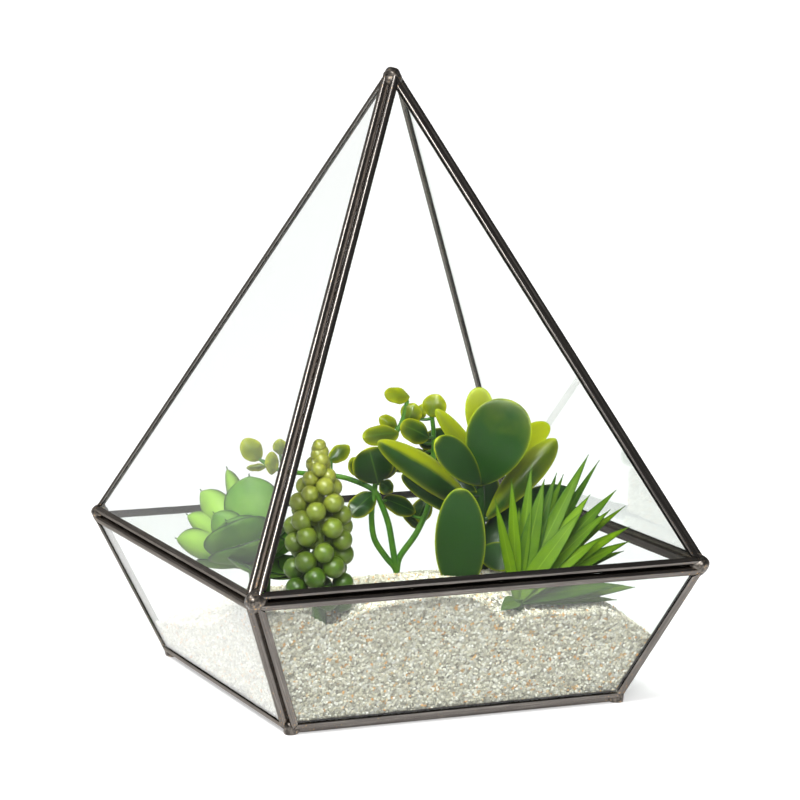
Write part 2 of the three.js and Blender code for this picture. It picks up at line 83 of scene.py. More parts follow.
class GlassBodySettings(bpy.types.PropertyGroup):
    belt_width: length_setting("Belt width", "Across the widest level, corner edge to corner edge", 200)
    base_width: length_setting("Foot width", "Across the foot", 149)
    belt_height: length_setting("Belt height", "From the floor to the widest level", 61.5)
    apex_height: length_setting("Apex height", "From the floor to where the corner edges meet", 263)
    came_width: length_setting("Came width", "How far a came covers its pane", 3)
    came_thickness: length_setting("Came thickness", "Across both flanges of a came", 3.3)
    joint_radius: length_setting("Solder joint", "Radius of the solder at the apex and the belt corners", 4.9)
    patina: colour_setting("Patina", "Dark coat on the came", "#75716d")
    flecks: colour_setting("Flecks", "Bare metal that shows through the patina", "#b4946c")
    glass_tint: colour_setting("Glass", "Faint green of clear glass", "#f8fbf9")


class SandSettings(bpy.types.PropertyGroup):
    # Real grains are about 1.4 mm. They are drawn a little coarser, so that they show.
    grain: length_setting("Grain", "Middle size of a quartz grain", 1.65)
    loose_grains: number_setting("Loose grains", "Grains that stand out of the bed", 23500, IntProperty)
    seed: number_setting("Seed", "Draws the places of the loose grains", 7, IntProperty)
    pale: colour_setting("Pale grain", "Commonest colour of the sand", "#d2ccb6")


class PlantSettings(bpy.types.PropertyGroup):
    rosette: colour_setting("Rosette", "Body of the rosette's leaves", "#38701f")
    berry: colour_setting("Berries", "Ripe berries near the foot of the spike", "#3b5a08")
    round_leaf: colour_setting("Round leaves", "Shaded round leaves", "#1c3a12")
    fleshy_leaf: colour_setting("Fleshy leaves", "Body of the large fleshy leaves", "#1e3d13")
    aloe: colour_setting("Tuft", "Body of the narrow blades", "#264806")


class StageSettings(bpy.types.PropertyGroup):
    floor: colour_setting("Floor", "Pale floor", "#f4f4f4")
    sky: number_setting("White cards", "Strength of the surround behind and at the left", 0.5)
    room: number_setting("Room", "Strength of the surround in front", 0.12)
    overhead: number_setting("Overhead", "Strength of the large light above", 2.4)
    key: number_setting("Front light", "Power of the soft light near the camera", 9, unit="POWER")


# ---------------------------------------------------------------- nodes and materials


def in_use(sockets, name=None):
    """The first socket that a node's settings leave in use, or the first such socket of that name."""
    return next(socket for socket in sockets if socket.enabled and name in (None, socket.name))


def as_value(value):
    """A hex colour as linear RGBA, a node as its first output, and any other value as it is."""
    if isinstance(value, str) and value.startswith("#"):
        return to_linear(value)
    return in_use(value.outputs) if isinstance(value, bpy.types.Node) else value


def add_node(tree, kind, inputs=None, stops=(), **settings):
    """Adds a node. An input goes by its name, or by its number where names repeat."""
    node = tree.nodes.new(kind)
    for name, value in settings.items():
        setattr(node, name, value)
    for key, value in (inputs or {}).items():
        socket = node.inputs[key] if isinstance(key, int) else in_use(node.inputs, key)
        value = as_value(value)
        if isinstance(value, bpy.types.NodeSocket):
            tree.links.new(value, socket)
        else:
            socket.default_value = value
    if stops:
        ramp = node.color_ramp.elements
        while len(ramp) < len(stops):
            ramp.new(0.5)
        for element, (position, colour) in zip(ramp, stops):
            element.position, element.color = position, as_value(colour)
    return node


def new_material(name):
    """An empty material, and what adds a node to it."""
    material = bpy.data.materials.new(name)
    material.use_nodes = True
    material.node_tree.nodes.clear()
    return material, partial(add_node, material.node_tree)


def finished(material, shader):
    add_node(material.node_tree, "ShaderNodeOutputMaterial", {"Surface": shader})
    return material


def patinated_came(body):
    """Lead came under black patina: dark, semi-gloss, rubbed lengthwise, with bare flecks near the joints."""
    material, add = new_material("patinated_lead_came")
    strip = add("ShaderNodeUVMap", uv_map="strip")
    # Rub marks are about 0.4 mm wide and 25 mm long; the strip's map is in metres.
    stretched = add("ShaderNodeMapping", {"Vector": strip, "Scale": (40, 2400, 1)})
    rub = add("ShaderNodeTexNoise", {"Vector": stretched, "Scale": 1, "Detail": 4, "Roughness": 0.6})
    place = add("ShaderNodeTexCoord").outputs["Object"]
    # Stains are about 6 mm across, flecks about 0.7 mm.
    stain = add("ShaderNodeTexNoise", {"Vector": place, "Scale": 160, "Detail": 3})
    fleck = add("ShaderNodeTexNoise", {"Vector": place, "Scale": 1400, "Detail": 2})
    near = add("ShaderNodeAttribute", attribute_name="near_joint").outputs["Fac"]
    wear = add("ShaderNodeMath", {0: near, 1: 0.13, 2: fleck}, operation="MULTIPLY_ADD")
    bare = add("ShaderNodeMapRange", {"Value": wear, "From Min": 0.7, "From Max": 0.78})
    tone = add("ShaderNodeValToRGB", {"Fac": rub}, stops=[
        (0.28, "#403c39"), (0.5, body.patina[:]), (0.74, "#b5aea8")])
    stained = add("ShaderNodeMix", {"Factor": stain, "A": tone, "B": "#67625e"}, data_type="RGBA")
    colour = add("ShaderNodeMix", {"Factor": bare, "A": stained, "B": body.flecks[:]}, data_type="RGBA")
    gloss = add("ShaderNodeMapRange", {"Value": rub, "To Min": 0.16, "To Max": 0.32})
    relief = add("ShaderNodeBump", {"Height": rub, "Strength": 0.18, "Distance": 0.0002})
    return finished(material, add("ShaderNodeBsdfPrincipled", {
        "Base Color": colour, "Metallic": 1.0, "Roughness": gloss, "Specular Tint": "#c4c1bd",
        "Normal": relief}))


def aged_solder(body):
    """Tin-lead solder, dabbed on and blackened: lumpy, duller than the came, with tan and bare spots."""
    material, add = new_material("blackened_solder")
    place = add("ShaderNodeTexCoord").outputs["Object"]
    # Lumps are about 1.5 mm across, spots about 1.2 mm.
    lumps = add("ShaderNodeTexNoise", {"Vector": place, "Scale": 650, "Detail": 4})
    spots = add("ShaderNodeTexNoise", {"Vector": place, "Scale": 800, "Detail": 2})
    colour = add("ShaderNodeValToRGB", {"Fac": spots}, stops=[
        (0.3, "#38342f"), (0.5, "#625d58"), (0.63, "#7d756c"), (0.7, body.flecks[:])])
    relief = add("ShaderNodeBump", {"Height": lumps, "Strength": 0.3, "Distance": 0.0005})
    return finished(material, add("ShaderNodeBsdfPrincipled", {
        "Base Color": colour, "Metallic": 0.9, "Roughness": 0.33, "Normal": relief}))


def clear_float_glass(body):
    """Clear float glass: sharp reflections, a faint green cast, and light passes it without a dark shadow."""
    material, add = new_material("clear_float_glass")
    glass = add("ShaderNodeBsdfPrincipled", {
        "Base Color": body.glass_tint[:], "Roughness": 0.0, "IOR": 1.5, "Transmission Weight": 1.0})
    shadow = add("ShaderNodeLightPath").outputs["Is Shadow Ray"]
    clear = add("ShaderNodeBsdfTransparent", {"Color": (0.97, 0.985, 0.975, 1)})
    return finished(material, add("ShaderNodeMixShader", {0: shadow, 1: glass, 2: clear}))


def quartz_sand(sand, loose):
    """Washed quartz sand: pale grey-beige grains with white, tan and a few orange ones."""
    material, add = new_material("loose_quartz_grains" if loose else "quartz_sand_bed")
    if loose:
        pick = add("ShaderNodeAttribute", attribute_name="grain_tone").outputs["Fac"]
    else:
        place = add("ShaderNodeTexCoord").outputs["Object"]
        # One cell of the pattern is one grain.
        cells = add("ShaderNodeTexVoronoi", {"Vector": place, "Scale": 1 / sand.grain}).outputs
        pick = add("ShaderNodeSeparateColor", {"Color": cells["Color"]})
    colour = add("ShaderNodeValToRGB", {"Fac": pick}, stops=[
        (0.0, "#8a8472"), (0.12, "#b8b29e"), (0.38, sand.pale[:]), (0.7, "#e9e5d6"), (0.93, "#fffdf6"),
        (0.95, "#e4cb9a"), (0.985, "#d9a052")])
    inputs = {"Base Color": colour, "Roughness": 0.55}
    if not loose:
        far = cells["Distance"]
        # Painted shade: each grain darkens towards the edge of its cell, where the gaps between grains lie in
        # shadow.
        painted_gap_shade = add("ShaderNodeMapRange", {"Value": far, "From Max": 0.75, "To Min": 1.0, "To Max": 0.66})
        inputs["Base Color"] = add("ShaderNodeMix", {"Factor": 1.0, "A": colour, "B": painted_gap_shade},
                                   data_type="RGBA", blend_type="MULTIPLY")
        height = add("ShaderNodeMath", {0: 1.0, 1: far}, operation="SUBTRACT")
        inputs["Normal"] = add("ShaderNodeBump", {"Height": height, "Strength": 0.9, "Distance": 0.0012})
    return finished(material, add("ShaderNodeBsdfPrincipled", inputs))


def faux_leaf(name, main, fresh, rim, vein, roughness, coat, veins=0.0, glow=0.0, gloss=0.15, clouds=0.5):
    """Soft moulded plastic leaf, airbrushed: a main colour, fresher where young, coloured along its rim.

    A bright rim colour, with the glow, paints the light that shines through the thin edge.
    """
    material, add = new_material(name)
    place = add("ShaderNodeTexCoord").outputs["Object"]
    # Clouds of the airbrush are about 8 mm across, pores about 0.5 mm.
    cloud = add("ShaderNodeTexNoise", {"Vector": place, "Scale": 120, "Detail": 2})
    pores = add("ShaderNodeTexNoise", {"Vector": place, "Scale": 2000, "Detail": 1})
    young = add("ShaderNodeAttribute", attribute_name="young").outputs["Fac"]
    edge = add("ShaderNodeAttribute", attribute_name="rim").outputs["Fac"]
    across = add("ShaderNodeSeparateXYZ", {"Vector": add("ShaderNodeUVMap", uv_map="leaf")}).outputs["Y"]
    clouded = add("ShaderNodeMath", {0: cloud, 1: clouds, 2: young}, operation="MULTIPLY_ADD")
    # The fresh colour also fades in over the last few millimetres before the rim: a painted glow of light
    # shining through the thin edge.
    margin = add("ShaderNodeMath", {0: edge, 1: 0.3}, operation="POWER")
    fading = add("ShaderNodeMath", {0: margin, 1: glow, 2: clouded}, operation="MULTIPLY_ADD")
    youth_and_painted_light = add("ShaderNodeMapRange", {"Value": fading, "From Min": 0.22, "From Max": 1.2})
    body = add("ShaderNodeMix", {"Factor": youth_and_painted_light, "A": main, "B": fresh}, data_type="RGBA")
    edged = add("ShaderNodeMix", {"Factor": edge, "A": body, "B": rim}, data_type="RGBA")
    # The vein follows the middle of the leaf's map.
    off_middle = add("ShaderNodeMath", {0: across, 1: 0.5}, operation="SUBTRACT")
    distance = add("ShaderNodeMath", {0: off_middle}, operation="ABSOLUTE")
    rib = add("ShaderNodeMapRange", {
        "Value": distance, "From Min": 0.0, "From Max": 0.035, "To Min": veins, "To Max": 0.0})
    ribbed = add("ShaderNodeMix", {"Factor": rib, "A": edged, "B": vein}, data_type="RGBA")
    relief = add("ShaderNodeBump", {"Height": pores, "Strength": 0.12, "Distance": 0.0001})
    return finished(material, add("ShaderNodeBsdfPrincipled", {
        "Base Color": ribbed, "Roughness": roughness, "Specular IOR Level": gloss, "Coat Weight": coat,
        "Coat Roughness": 0.2, "Subsurface Weight": 0.12, "Subsurface Radius": (0.6, 1.0, 0.2),
        "Subsurface Scale": 0.002, "Normal": relief}))


def faux_berry(plants):
    """Waxy moulded berries: yellow-green at the top of the spike, deeper green below, with a soft bloom."""
    material, add = new_material("waxy_plastic_berry")
    place = add("ShaderNodeTexCoord").outputs["Object"]
    level = add("ShaderNodeSeparateXYZ", {"Vector": place}).outputs["Z"]
    height = add("ShaderNodeMapRange", {"Value": level, "From Min": 0.05, "From Max": 0.118})
    # The bloom lies in patches about 4.5 mm across.
    bloom = add("ShaderNodeTexNoise", {"Vector": place, "Scale": 220, "Detail": 3})
    mixed = add("ShaderNodeMath", {0: bloom, 1: 0.35, 2: height}, operation="MULTIPLY_ADD")
    colour = add("ShaderNodeValToRGB", {"Fac": mixed}, stops=[
        (0.1, "#2f5508"), (0.35, plants.berry[:]), (0.7, "#66761a"), (1.0, "#85882c")])
    return finished(material, add("ShaderNodeBsdfPrincipled", {
        "Base Color": colour, "Roughness": 0.34, "Coat Weight": 0.35, "Coat Roughness": 0.2,
        "Subsurface Weight": 0.15, "Subsurface Radius": (0.8, 1.0, 0.2), "Subsurface Scale": 0.002}))


def pale_floor(stage):
    """Matt white board of a light table: it glows a little, so the ground stays white round the glass."""
    material, add = new_material("matt_white_board")
    place = add("ShaderNodeTexCoord").outputs["Object"]
    tooth = add("ShaderNodeTexNoise", {"Vector": place, "Scale": 900, "Detail": 2})
    relief = add("ShaderNodeBump", {"Height": tooth, "Strength": 0.02, "Distance": 0.0001})
    return finished(material, add("ShaderNodeBsdfPrincipled", {
        "Base Color": stage.floor[:], "Roughness": 0.6, "Specular IOR Level": 0.1, "Normal": relief,
        "Emission Color": (1, 1, 1, 1), "Emission Strength": 0.46}))


# ---------------------------------------------------------------- shapes, in millimetres


def unit(vector):
    vector = np.asarray(vector, float)
    return vector / np.linalg.norm(vector, axis=-1, keepdims=True)


class Shape:
    """Collects closed bodies swept through rings of points, with what the materials read from them."""

    def __init__(self, map_name):
        self.map_name = map_name
        self.points, self.faces, self.places = [], [], []
        self.values = {}
        self.count = 0

    def rings(self, points, places, **values):
        """points is rings by points round a ring by xyz; places is the same by two, for the piece's map."""
        rows, around = points.shape[:2]
        index = self.count + np.arange(rows * around).reshape(rows, around)
        after = np.roll(index, -1, axis=1)
        quads = np.stack([index[:-1], index[1:], after[1:], after[:-1]], axis=-1).reshape(-1, 4)
        self.faces += quads.tolist() + [index[0].tolist(), index[-1][::-1].tolist()]
        self.points.append(points.reshape(-1, 3))
        self.places.append(places.reshape(-1, 2))
        for name, value in values.items():
            full = np.broadcast_to(value, (rows, around)).reshape(-1)
            self.values.setdefault(name, []).append(full)
        self.count += rows * around

    def mesh(self):
        mesh = smooth_mesh(np.concatenate(self.points), self.faces)
        corners = np.empty(len(mesh.loops), int)
        mesh.loops.foreach_get("vertex_index", corners)
        places = np.concatenate(self.places)
        layer = mesh.uv_layers.new(name=self.map_name)
        layer.data.foreach_set("uv", places[corners].astype(np.float32).reshape(-1))
        for name, parts in self.values.items():
            add_values(mesh, name, np.concatenate(parts).astype(np.float32))
        return mesh


def smooth_mesh(points, faces):
    mesh = bpy.data.meshes.new("mesh")
    mesh.from_pydata((points * MM).tolist(), [], faces)
    shade_smooth(mesh)
    return mesh


def shade_smooth(mesh):
    mesh.polygons.foreach_set("use_smooth", [True] * len(mesh.polygons))


def add_values(mesh, name, values):
    """Gives every point of a mesh a number that a material or a node tree reads by name."""
    mesh.attributes.new(name, "FLOAT", "POINT").data.foreach_set("value", values)


def place_piece(name, mesh, material, slot, *nodes):
    """Puts a finished mesh in the scene as a piece that rides on the body and stands for CAD nodes."""
    mesh.name = name
    mesh.materials.clear()
    mesh.materials.append(material)
    piece = bpy.data.objects.new(name, mesh)
    bpy.context.collection.objects.link(piece)
    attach(piece, "root")
    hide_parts(*nodes)


def new_tree(name, **inputs):
    """A node tree with these inputs and a material, what adds a node to it, and its inputs' sockets."""
    tree = bpy.data.node_groups.new(name, "GeometryNodeTree")
    tree.interface.new_socket("Geometry", in_out="INPUT", socket_type="NodeSocketGeometry")
    for key, default in inputs.items():
        kind = "NodeSocketInt" if isinstance(default, int) else "NodeSocketFloat"
        tree.interface.new_socket(key, in_out="INPUT", socket_type=kind).default_value = default
    tree.interface.new_socket("Material", in_out="INPUT", socket_type="NodeSocketMaterial")
    tree.interface.new_socket("Geometry", in_out="OUTPUT", socket_type="NodeSocketGeometry")
    add = partial(add_node, tree)
    return tree, add, add("NodeGroupInput").outputs


def close_tree(add, given, geometry):
    """Ends a tree with plain geometry in its material, because the export drops instances."""
    real = add("GeometryNodeRealizeInstances", {"Geometry": geometry})
    coloured = add("GeometryNodeSetMaterial", {"Geometry": real, "Material": given["Material"]})
    add("NodeGroupOutput", {"Geometry": coloured})


def run_tree(tree, mesh, inputs):
    """The plain mesh that a node tree makes from a mesh."""
    holder = bpy.data.objects.new("holder", mesh)
    bpy.context.collection.objects.link(holder)
    modifier = holder.modifiers.new("nodes", "NODES")
    modifier.node_group = tree
    for item in tree.interface.items_tree:
        if item.in_out == "INPUT" and item.name in inputs:
            modifier[item.identifier] = inputs[item.name]
    made = holder.evaluated_get(bpy.context.evaluated_depsgraph_get())
    result = bpy.data.meshes.new_from_object(made)
    holder.modifiers.clear()
    bpy.data.objects.remove(holder)
    return result


# ---------------------------------------------------------------- the glass body


SIGNS = {"fl": (-1, -1), "fr": (1, -1), "br": (1, 1), "bl": (-1, 1)}
FACES = {
    "upper_front": (("belt_fl", "belt_fr", "apex"), ("belt", "right", "left")),
    "upper_right": (("belt_fr", "belt_br", "apex"), ("belt", "back", "front")),
    "upper_back": (("belt_br", "belt_bl", "apex"), ()),
    "upper_left": (("belt_bl", "belt_fl", "apex"), ("belt", "front", "back")),
    "lower_front": (("foot_fl", "foot_fr", "belt_fr", "belt_fl"), ("foot", "right", "belt", "left")),
    "lower_right": (("foot_fr", "foot_br", "belt_br", "belt_fr"), ("foot", "back", "belt", "front")),
    "lower_back": (("foot_br", "foot_bl", "belt_bl", "belt_br"), ("foot", "left", "belt", "right")),
    "lower_left": (("foot_bl", "foot_fl", "belt_fl", "belt_bl"), ("foot", "front", "belt", "back")),
    "base": (("foot_fl", "foot_bl", "foot_br", "foot_fr"), ("left", "back", "right", "front")),
}
# A came's section: inset from the outer face of its spine, and height over the middle of its pane, positive
# on the outside of the terrarium. It is drawn at this size, and scaled to the settings.
SECTION_WIDTH, SECTION_THICKNESS = 3, 3.3
CAME_SECTION = [
    (0.8, 1.15), (0.8, -1.15), (3.0, -1.15), (3.0, -1.52), (2.9, -1.65), (0.2, -1.65), (0.05, -1.58),
    (0.0, -1.4), (0.0, 0.2), (0.04, 0.6), (0.17, 0.98), (0.4, 1.28), (0.72, 1.5), (1.1, 1.61), (1.5, 1.65),
    (2.0, 1.63), (2.4, 1.56), (2.75, 1.43), (2.94, 1.28), (3.0, 1.15),
]
# Neighbouring cames are soldered, so their inner corners run into each other by this much.
CAME_CONTACT = 0.12
# Half the air between two mitred ends, and how far a strip runs into the solder so that no gap shows.
MITRE_GAP = 0.15
SOLDER_BITE = 1.4
STRIP_RINGS = 40
# Waves of drawn lead: their height and periods, and how much of them the strip's edge and faces take.
WAVE_HEIGHT = 0.035
WAVE_PERIODS = np.array([61.0, 23.0, 11.0])
EDGE_WAVE, FACE_WAVE = 0.8, 0.6
# The bare flecks fade out over this length from a joint.
FLECK_REACH = 14
CAME_SEED = 11
SHARP_CAME = math.radians(38)

FOOT_JOINT_RADIUS = 3.7
JOINT_INSET = 2.0
APEX_JOINT_INSET = 4.6
FOOT_JOINT_INSET = 1.2
LUMP_RINGS, LUMP_SIDES = 36, 48
# The rings stop this far from the poles, in radians.
POLE_GAP = 0.02
# Shares of a lump's radius: its body, what flows along each came, and its bumps.
LUMP_BODY, LUMP_FLOW, LUMP_BUMPS = 0.76, 0.34, 0.07
FLOW_NARROWING = 4
BUMP_PERIOD = 5.0
FIRST_LUMP_SEED = 40


def body_corners(body):
    belt, base = body.belt_width / 2 / MM, body.base_width / 2 / MM
    corners = {"apex": np.array([0, 0, body.apex_height / MM])}
    for key, (sx, sy) in SIGNS.items():
        corners["belt_" + key] = np.array([sx * belt, sy * belt, body.belt_height / MM])
        corners["foot_" + key] = np.array([sx * base, sy * base, body.came_thickness / 2 / MM])
    return corners


def face_normal(corners, keys):
    a, b, c = (corners[key] for key in keys[:3])
    return unit(np.cross(b - a, c - a))


def lump_of(body, corners, key):
    """Centre and radius of the solder at a corner."""
    radius, inset = body.joint_radius / MM, JOINT_INSET
    if key.startswith("foot"):
        radius, inset = FOOT_JOINT_RADIUS, FOOT_JOINT_INSET
    corner = corners[key]
    if key == "apex":
        return corner - [0, 0, APEX_JOINT_INSET], radius
    return corner - inset * np.array([*np.sign(corner[:2]), 0]), radius


def corner_angle(corners, before, at, after):
    return math.acos(float(unit(corners[before] - corners[at]) @ unit(corners[after] - corners[at])))


def strips(body, corners):
    """Yields each came strip: its node, its two corners with their angles, its axes and its stand-off."""
    normals = {name: face_normal(corners, keys) for name, (keys, _) in FACES.items()}
    for name, (keys, sides) in FACES.items():
        normal = normals[name]
        for i, side in enumerate(sides):
            start, end = keys[i], keys[(i + 1) % len(keys)]
            other = next(o for o, (ks, _) in FACES.items() if o != name and start in ks and end in ks)
            dihedral = math.pi - math.acos(float(normal @ normals[other]))
            stand_off = body.came_thickness / MM / 2 / math.tan(dihedral / 2) - CAME_CONTACT
            along = unit(corners[end] - corners[start])
            angles = (corner_angle(corners, keys[i - 1], start, end),
                      corner_angle(corners, start, end, keys[(i + 2) % len(keys)]))
            node = f"came_{name}_{side}"
            yield node, (start, end), angles, along, np.cross(normal, along), normal, stand_off


def came_shape(body):
    """Every strip swept with rounded outer corners and the slight waviness of drawn lead."""
    corners = body_corners(body)
    shape = Shape("strip")
    nodes = []
    section = np.array(CAME_SECTION) * [
        body.came_width / MM / SECTION_WIDTH, body.came_thickness / MM / SECTION_THICKNESS]
    girth = np.cumsum(np.linalg.norm(np.diff(section, axis=0, prepend=section[:1]), axis=1))
    steps = np.linspace(0, 1, STRIP_RINGS)[:, None]
    draw = np.random.default_rng(CAME_SEED)
    for node, ends, angles, along, inward, normal, stand_off in strips(body, corners):
        nodes.append(node)
        insets = stand_off + section[:, 0]
        outlines = [corners[key] + insets[:, None] * inward + section[:, 1:] * normal for key in ends]
        limits = []
        for key, angle, direction, outline in zip(ends, angles, (along, -along), outlines):
            centre, radius = lump_of(body, corners, key)
            mitre = insets / math.tan(angle / 2) + MITRE_GAP / math.sin(angle / 2)
            to_centre = centre - outline
            nearest = to_centre @ direction
            reach = (radius - SOLDER_BITE) ** 2 - (to_centre ** 2).sum(axis=1) + nearest ** 2
            limits.append(np.maximum(mitre, nearest + np.sqrt(np.maximum(reach, 0))))
        length = float(np.linalg.norm(corners[ends[1]] - corners[ends[0]]))
        distance = limits[0] + (length - limits[1] - limits[0]) * steps
        heights = draw.uniform(0.4, 1.0, (2, 3)) * WAVE_HEIGHT
        phases = draw.uniform(0, DRAWN_TURN, (2, 3))
        turns = distance[..., None] * WAVE_TURN / WAVE_PERIODS
        edge_wave, face_wave = (
            np.abs((height * np.sin(turns + phase)).sum(axis=-1)) for height, phase in zip(heights, phases))
        points = outlines[0] + distance[..., None] * along + (edge_wave * EDGE_WAVE)[..., None] * inward
        points = points - (face_wave * np.sign(section[:, 1]))[..., None] * normal * FACE_WAVE
        near = np.exp(-np.minimum(distance, length - distance) / FLECK_REACH)
        places = np.stack([distance * MM, np.broadcast_to(girth, distance.shape) * MM], axis=-1)
        shape.rings(points, places, near_joint=near)
    return shape, nodes


class TERRARIUM_OT_came(bpy.types.Operator):
    """Sweep the lead came round every pane"""

    bl_idname = "terrarium.came"
    bl_label = "Lead came"

    def execute(self, context):
        body = context.scene.terrarium_glass
        shape, nodes = came_shape(body)
        mesh = shape.mesh()
        mesh.set_sharp_from_angle(angle=SHARP_CAME)
        place_piece("lead_came", mesh, patinated_came(body), "came", *nodes)
        return {"FINISHED"}


def rippled(points, period, seed):
    """A smooth value between about -1 and 1 for every point, that waves over the given period."""
    draw = np.random.default_rng(seed)
    total = np.zeros(len(points))
    for _ in range(6):
        direction = unit(draw.normal(size=3))
        phase = points @ direction * WAVE_TURN / (period * draw.uniform(0.7, 1.4))
        total += np.sin(phase + draw.uniform(0, DRAWN_TURN))
    return total / 4


def lump_shape(body, corners, key, seed):
    """A lump of solder over a corner, drawn out a little along the cames that meet there."""
    centre, radius = lump_of(body, corners, key)
    polar, turn = np.meshgrid(np.linspace(POLE_GAP, math.pi - POLE_GAP, LUMP_RINGS),
                              np.linspace(0, 2 * math.pi, LUMP_SIDES, False), indexing="ij")
    ways = np.stack([np.sin(polar) * np.cos(turn), np.sin(polar) * np.sin(turn), np.cos(polar)], axis=-1)
    flow = np.zeros(polar.shape)
    for _, ends, _, along, *_ in strips(body, corners):
        if key in ends:
            heading = along if ends[0] == key else -along
            flow = np.maximum(flow, np.clip(ways @ heading, 0, 1) ** FLOW_NARROWING)
    bumps = rippled(ways.reshape(-1, 3) * radius, BUMP_PERIOD, seed).reshape(polar.shape)
    reach = radius * (LUMP_BODY + LUMP_FLOW * flow + LUMP_BUMPS * bumps)
    points = centre + ways * reach[..., None]
    points[..., 2] = np.maximum(points[..., 2], 0)
    shape = Shape("lump")
    shape.rings(points, np.stack([polar, turn], axis=-1) * radius * MM)
    return shape


class TERRARIUM_OT_solder(bpy.types.Operator):
    """Melt a lump of solder over every corner"""

    bl_idname = "terrarium.solder"
    bl_label = "Solder joints"

    def execute(self, context):
        body = context.scene.terrarium_glass
        corners = body_corners(body)
        material = aged_solder(body)
        for seed, key in enumerate(corners, FIRST_LUMP_SEED):
            mesh = lump_shape(body, corners, key, seed).mesh()
            place_piece(f"solder_joint_{key}", mesh, material, "solder", f"solder_{key}")
        return {"FINISHED"}


class TERRARIUM_OT_glass(bpy.types.Operator):
    """Give the flat panes their clear glass"""

    bl_idname = "terrarium.glass"
    bl_label = "Glass panes"

    def execute(self, context):
        material = clear_float_glass(context.scene.terrarium_glass)
        for name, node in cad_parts.items():
            if name.startswith("glass_"):
                for slot in node.material_slots:
                    slot.material = material
        return {"FINISHED"}


# ---------------------------------------------------------------- the sand


SAND_BOTTOM = 3.6
SAND_TOP = 56.0
# The heap thins out towards this level and never falls below it.
SAND_THINNEST = 9
# Hollows in the heap: their middle, radius and depth.
SAND_DIPS = ((-60, -70, 19, 15), (-64, -93, 9, 4), (25, -82, 20, 6), (14, -92, 12, 7), (48, -92, 22, 9))
# Ripples on the heap: their height, period and seed.
SAND_RIPPLES = ((0.35, 9, 3), (0.3, 4, 4))
# From a pane's middle to the skin of the bed, so that the grains on it just reach the glass.
HALF_CAME, GRAIN_REACH = 1.65, 0.75
SAND_WALL = HALF_CAME + GRAIN_REACH
BED_CELLS, BED_SIDE_ROWS = 150, 16
# The bed's width depends on its level, so the level is found in this many passes.
LEVEL_PASSES = 10
# The ripples die out towards the glass; the higher this is, the closer to it.
RIPPLE_EDGE = 12
SHARP_SAND = math.radians(50)
# Loose grains lie only above this level. Each has eight faces, and at least this share has to be there.
LOWEST_GRAIN = 6 * MM
GRAIN_FACES = 8
GRAIN_SHARE = 0.7


def soft_ramp(value, softness):
    return (value + np.hypot(value, softness)) / 2


def smoothstep(value, low, high):
    t = np.clip((value - low) / (high - low), 0, 1)
    return t * t * (3 - 2 * t)


def sand_height(x, y):
    """Level of the sand in millimetres, heaped at the front and falling to the back and the right."""
    x, y = np.asarray(x, float), np.asarray(y, float)
    level = (SAND_TOP - 0.24 * soft_ramp(y + 45, 14) - 0.28 * smoothstep(y, -95, -10) * soft_ramp(-x - 35, 14)
             - 0.95 * soft_ramp(x - 57, 10))
    for centre_x, centre_y, radius, depth in SAND_DIPS:
        level = level - depth * np.exp(-((x - centre_x) ** 2 + (y - centre_y) ** 2) / radius ** 2)
    level = level + 0.8 * np.sin(x / 9) * np.cos(y / 11)
    return SAND_THINNEST + soft_ramp(level - SAND_THINNEST, 6)


def sand_half_width(body, level):
    belt, base = body.belt_width / 2 / MM, body.base_width / 2 / MM
    foot = body.came_thickness / 2 / MM
    slope = (belt - base) / (body.belt_height / MM - foot)
    return base + (level - foot) * slope - SAND_WALL * math.hypot(1, slope)


def sand_bed_mesh(body):
    """The heap as one closed skin: a fine top, slanting sides behind the glass and a flat underside."""
    line = np.linspace(-1, 1, BED_CELLS + 1)
    px, py = np.meshgrid(line, line, indexing="ij")
    level = np.full(px.shape, SAND_TOP)
    for _ in range(LEVEL_PASSES):
        half = sand_half_width(body, level)
        level = sand_height(px * half, py * half)
    half = sand_half_width(body, level)
    x, y = px * half, py * half
    inner = 1 - np.maximum(abs(px), abs(py)) ** RIPPLE_EDGE
    flat = np.stack([x, y, 0 * x], axis=-1).reshape(-1, 3)
    ripples = sum(height * rippled(flat, period, seed) for height, period, seed in SAND_RIPPLES)
    top = np.stack([x, y, level + inner * ripples.reshape(x.shape)], axis=-1)
    index = np.arange((BED_CELLS + 1) ** 2).reshape(px.shape)
    quads = np.stack([index[:-1, :-1], index[1:, :-1], index[1:, 1:], index[:-1, 1:]], axis=-1)
    faces = quads.reshape(-1, 4).tolist()

    def round_rim(grid):
        return np.concatenate([grid[:-1, 0], grid[-1, :-1], grid[:0:-1, -1], grid[0, :0:-1]])

    points = [top.reshape(-1, 3)]
    above, edge, rim_x, rim_y = (round_rim(grid) for grid in (index, top, px, py))
    for row in range(1, BED_SIDE_ROWS + 1):
        z = edge[:, 2] + (SAND_BOTTOM - edge[:, 2]) * row / BED_SIDE_ROWS
        wide = sand_half_width(body, z)
        points.append(np.column_stack([rim_x * wide, rim_y * wide, z]))
        below = index.size + (row - 1) * len(above) + np.arange(len(above))
        faces += np.stack([above, below, np.roll(below, -1), np.roll(above, -1)], axis=-1).tolist()
        above = below
    faces.append(above[::-1].tolist())
    mesh = smooth_mesh(np.concatenate(points), faces)
    mesh.set_sharp_from_angle(angle=SHARP_SAND)
    return mesh


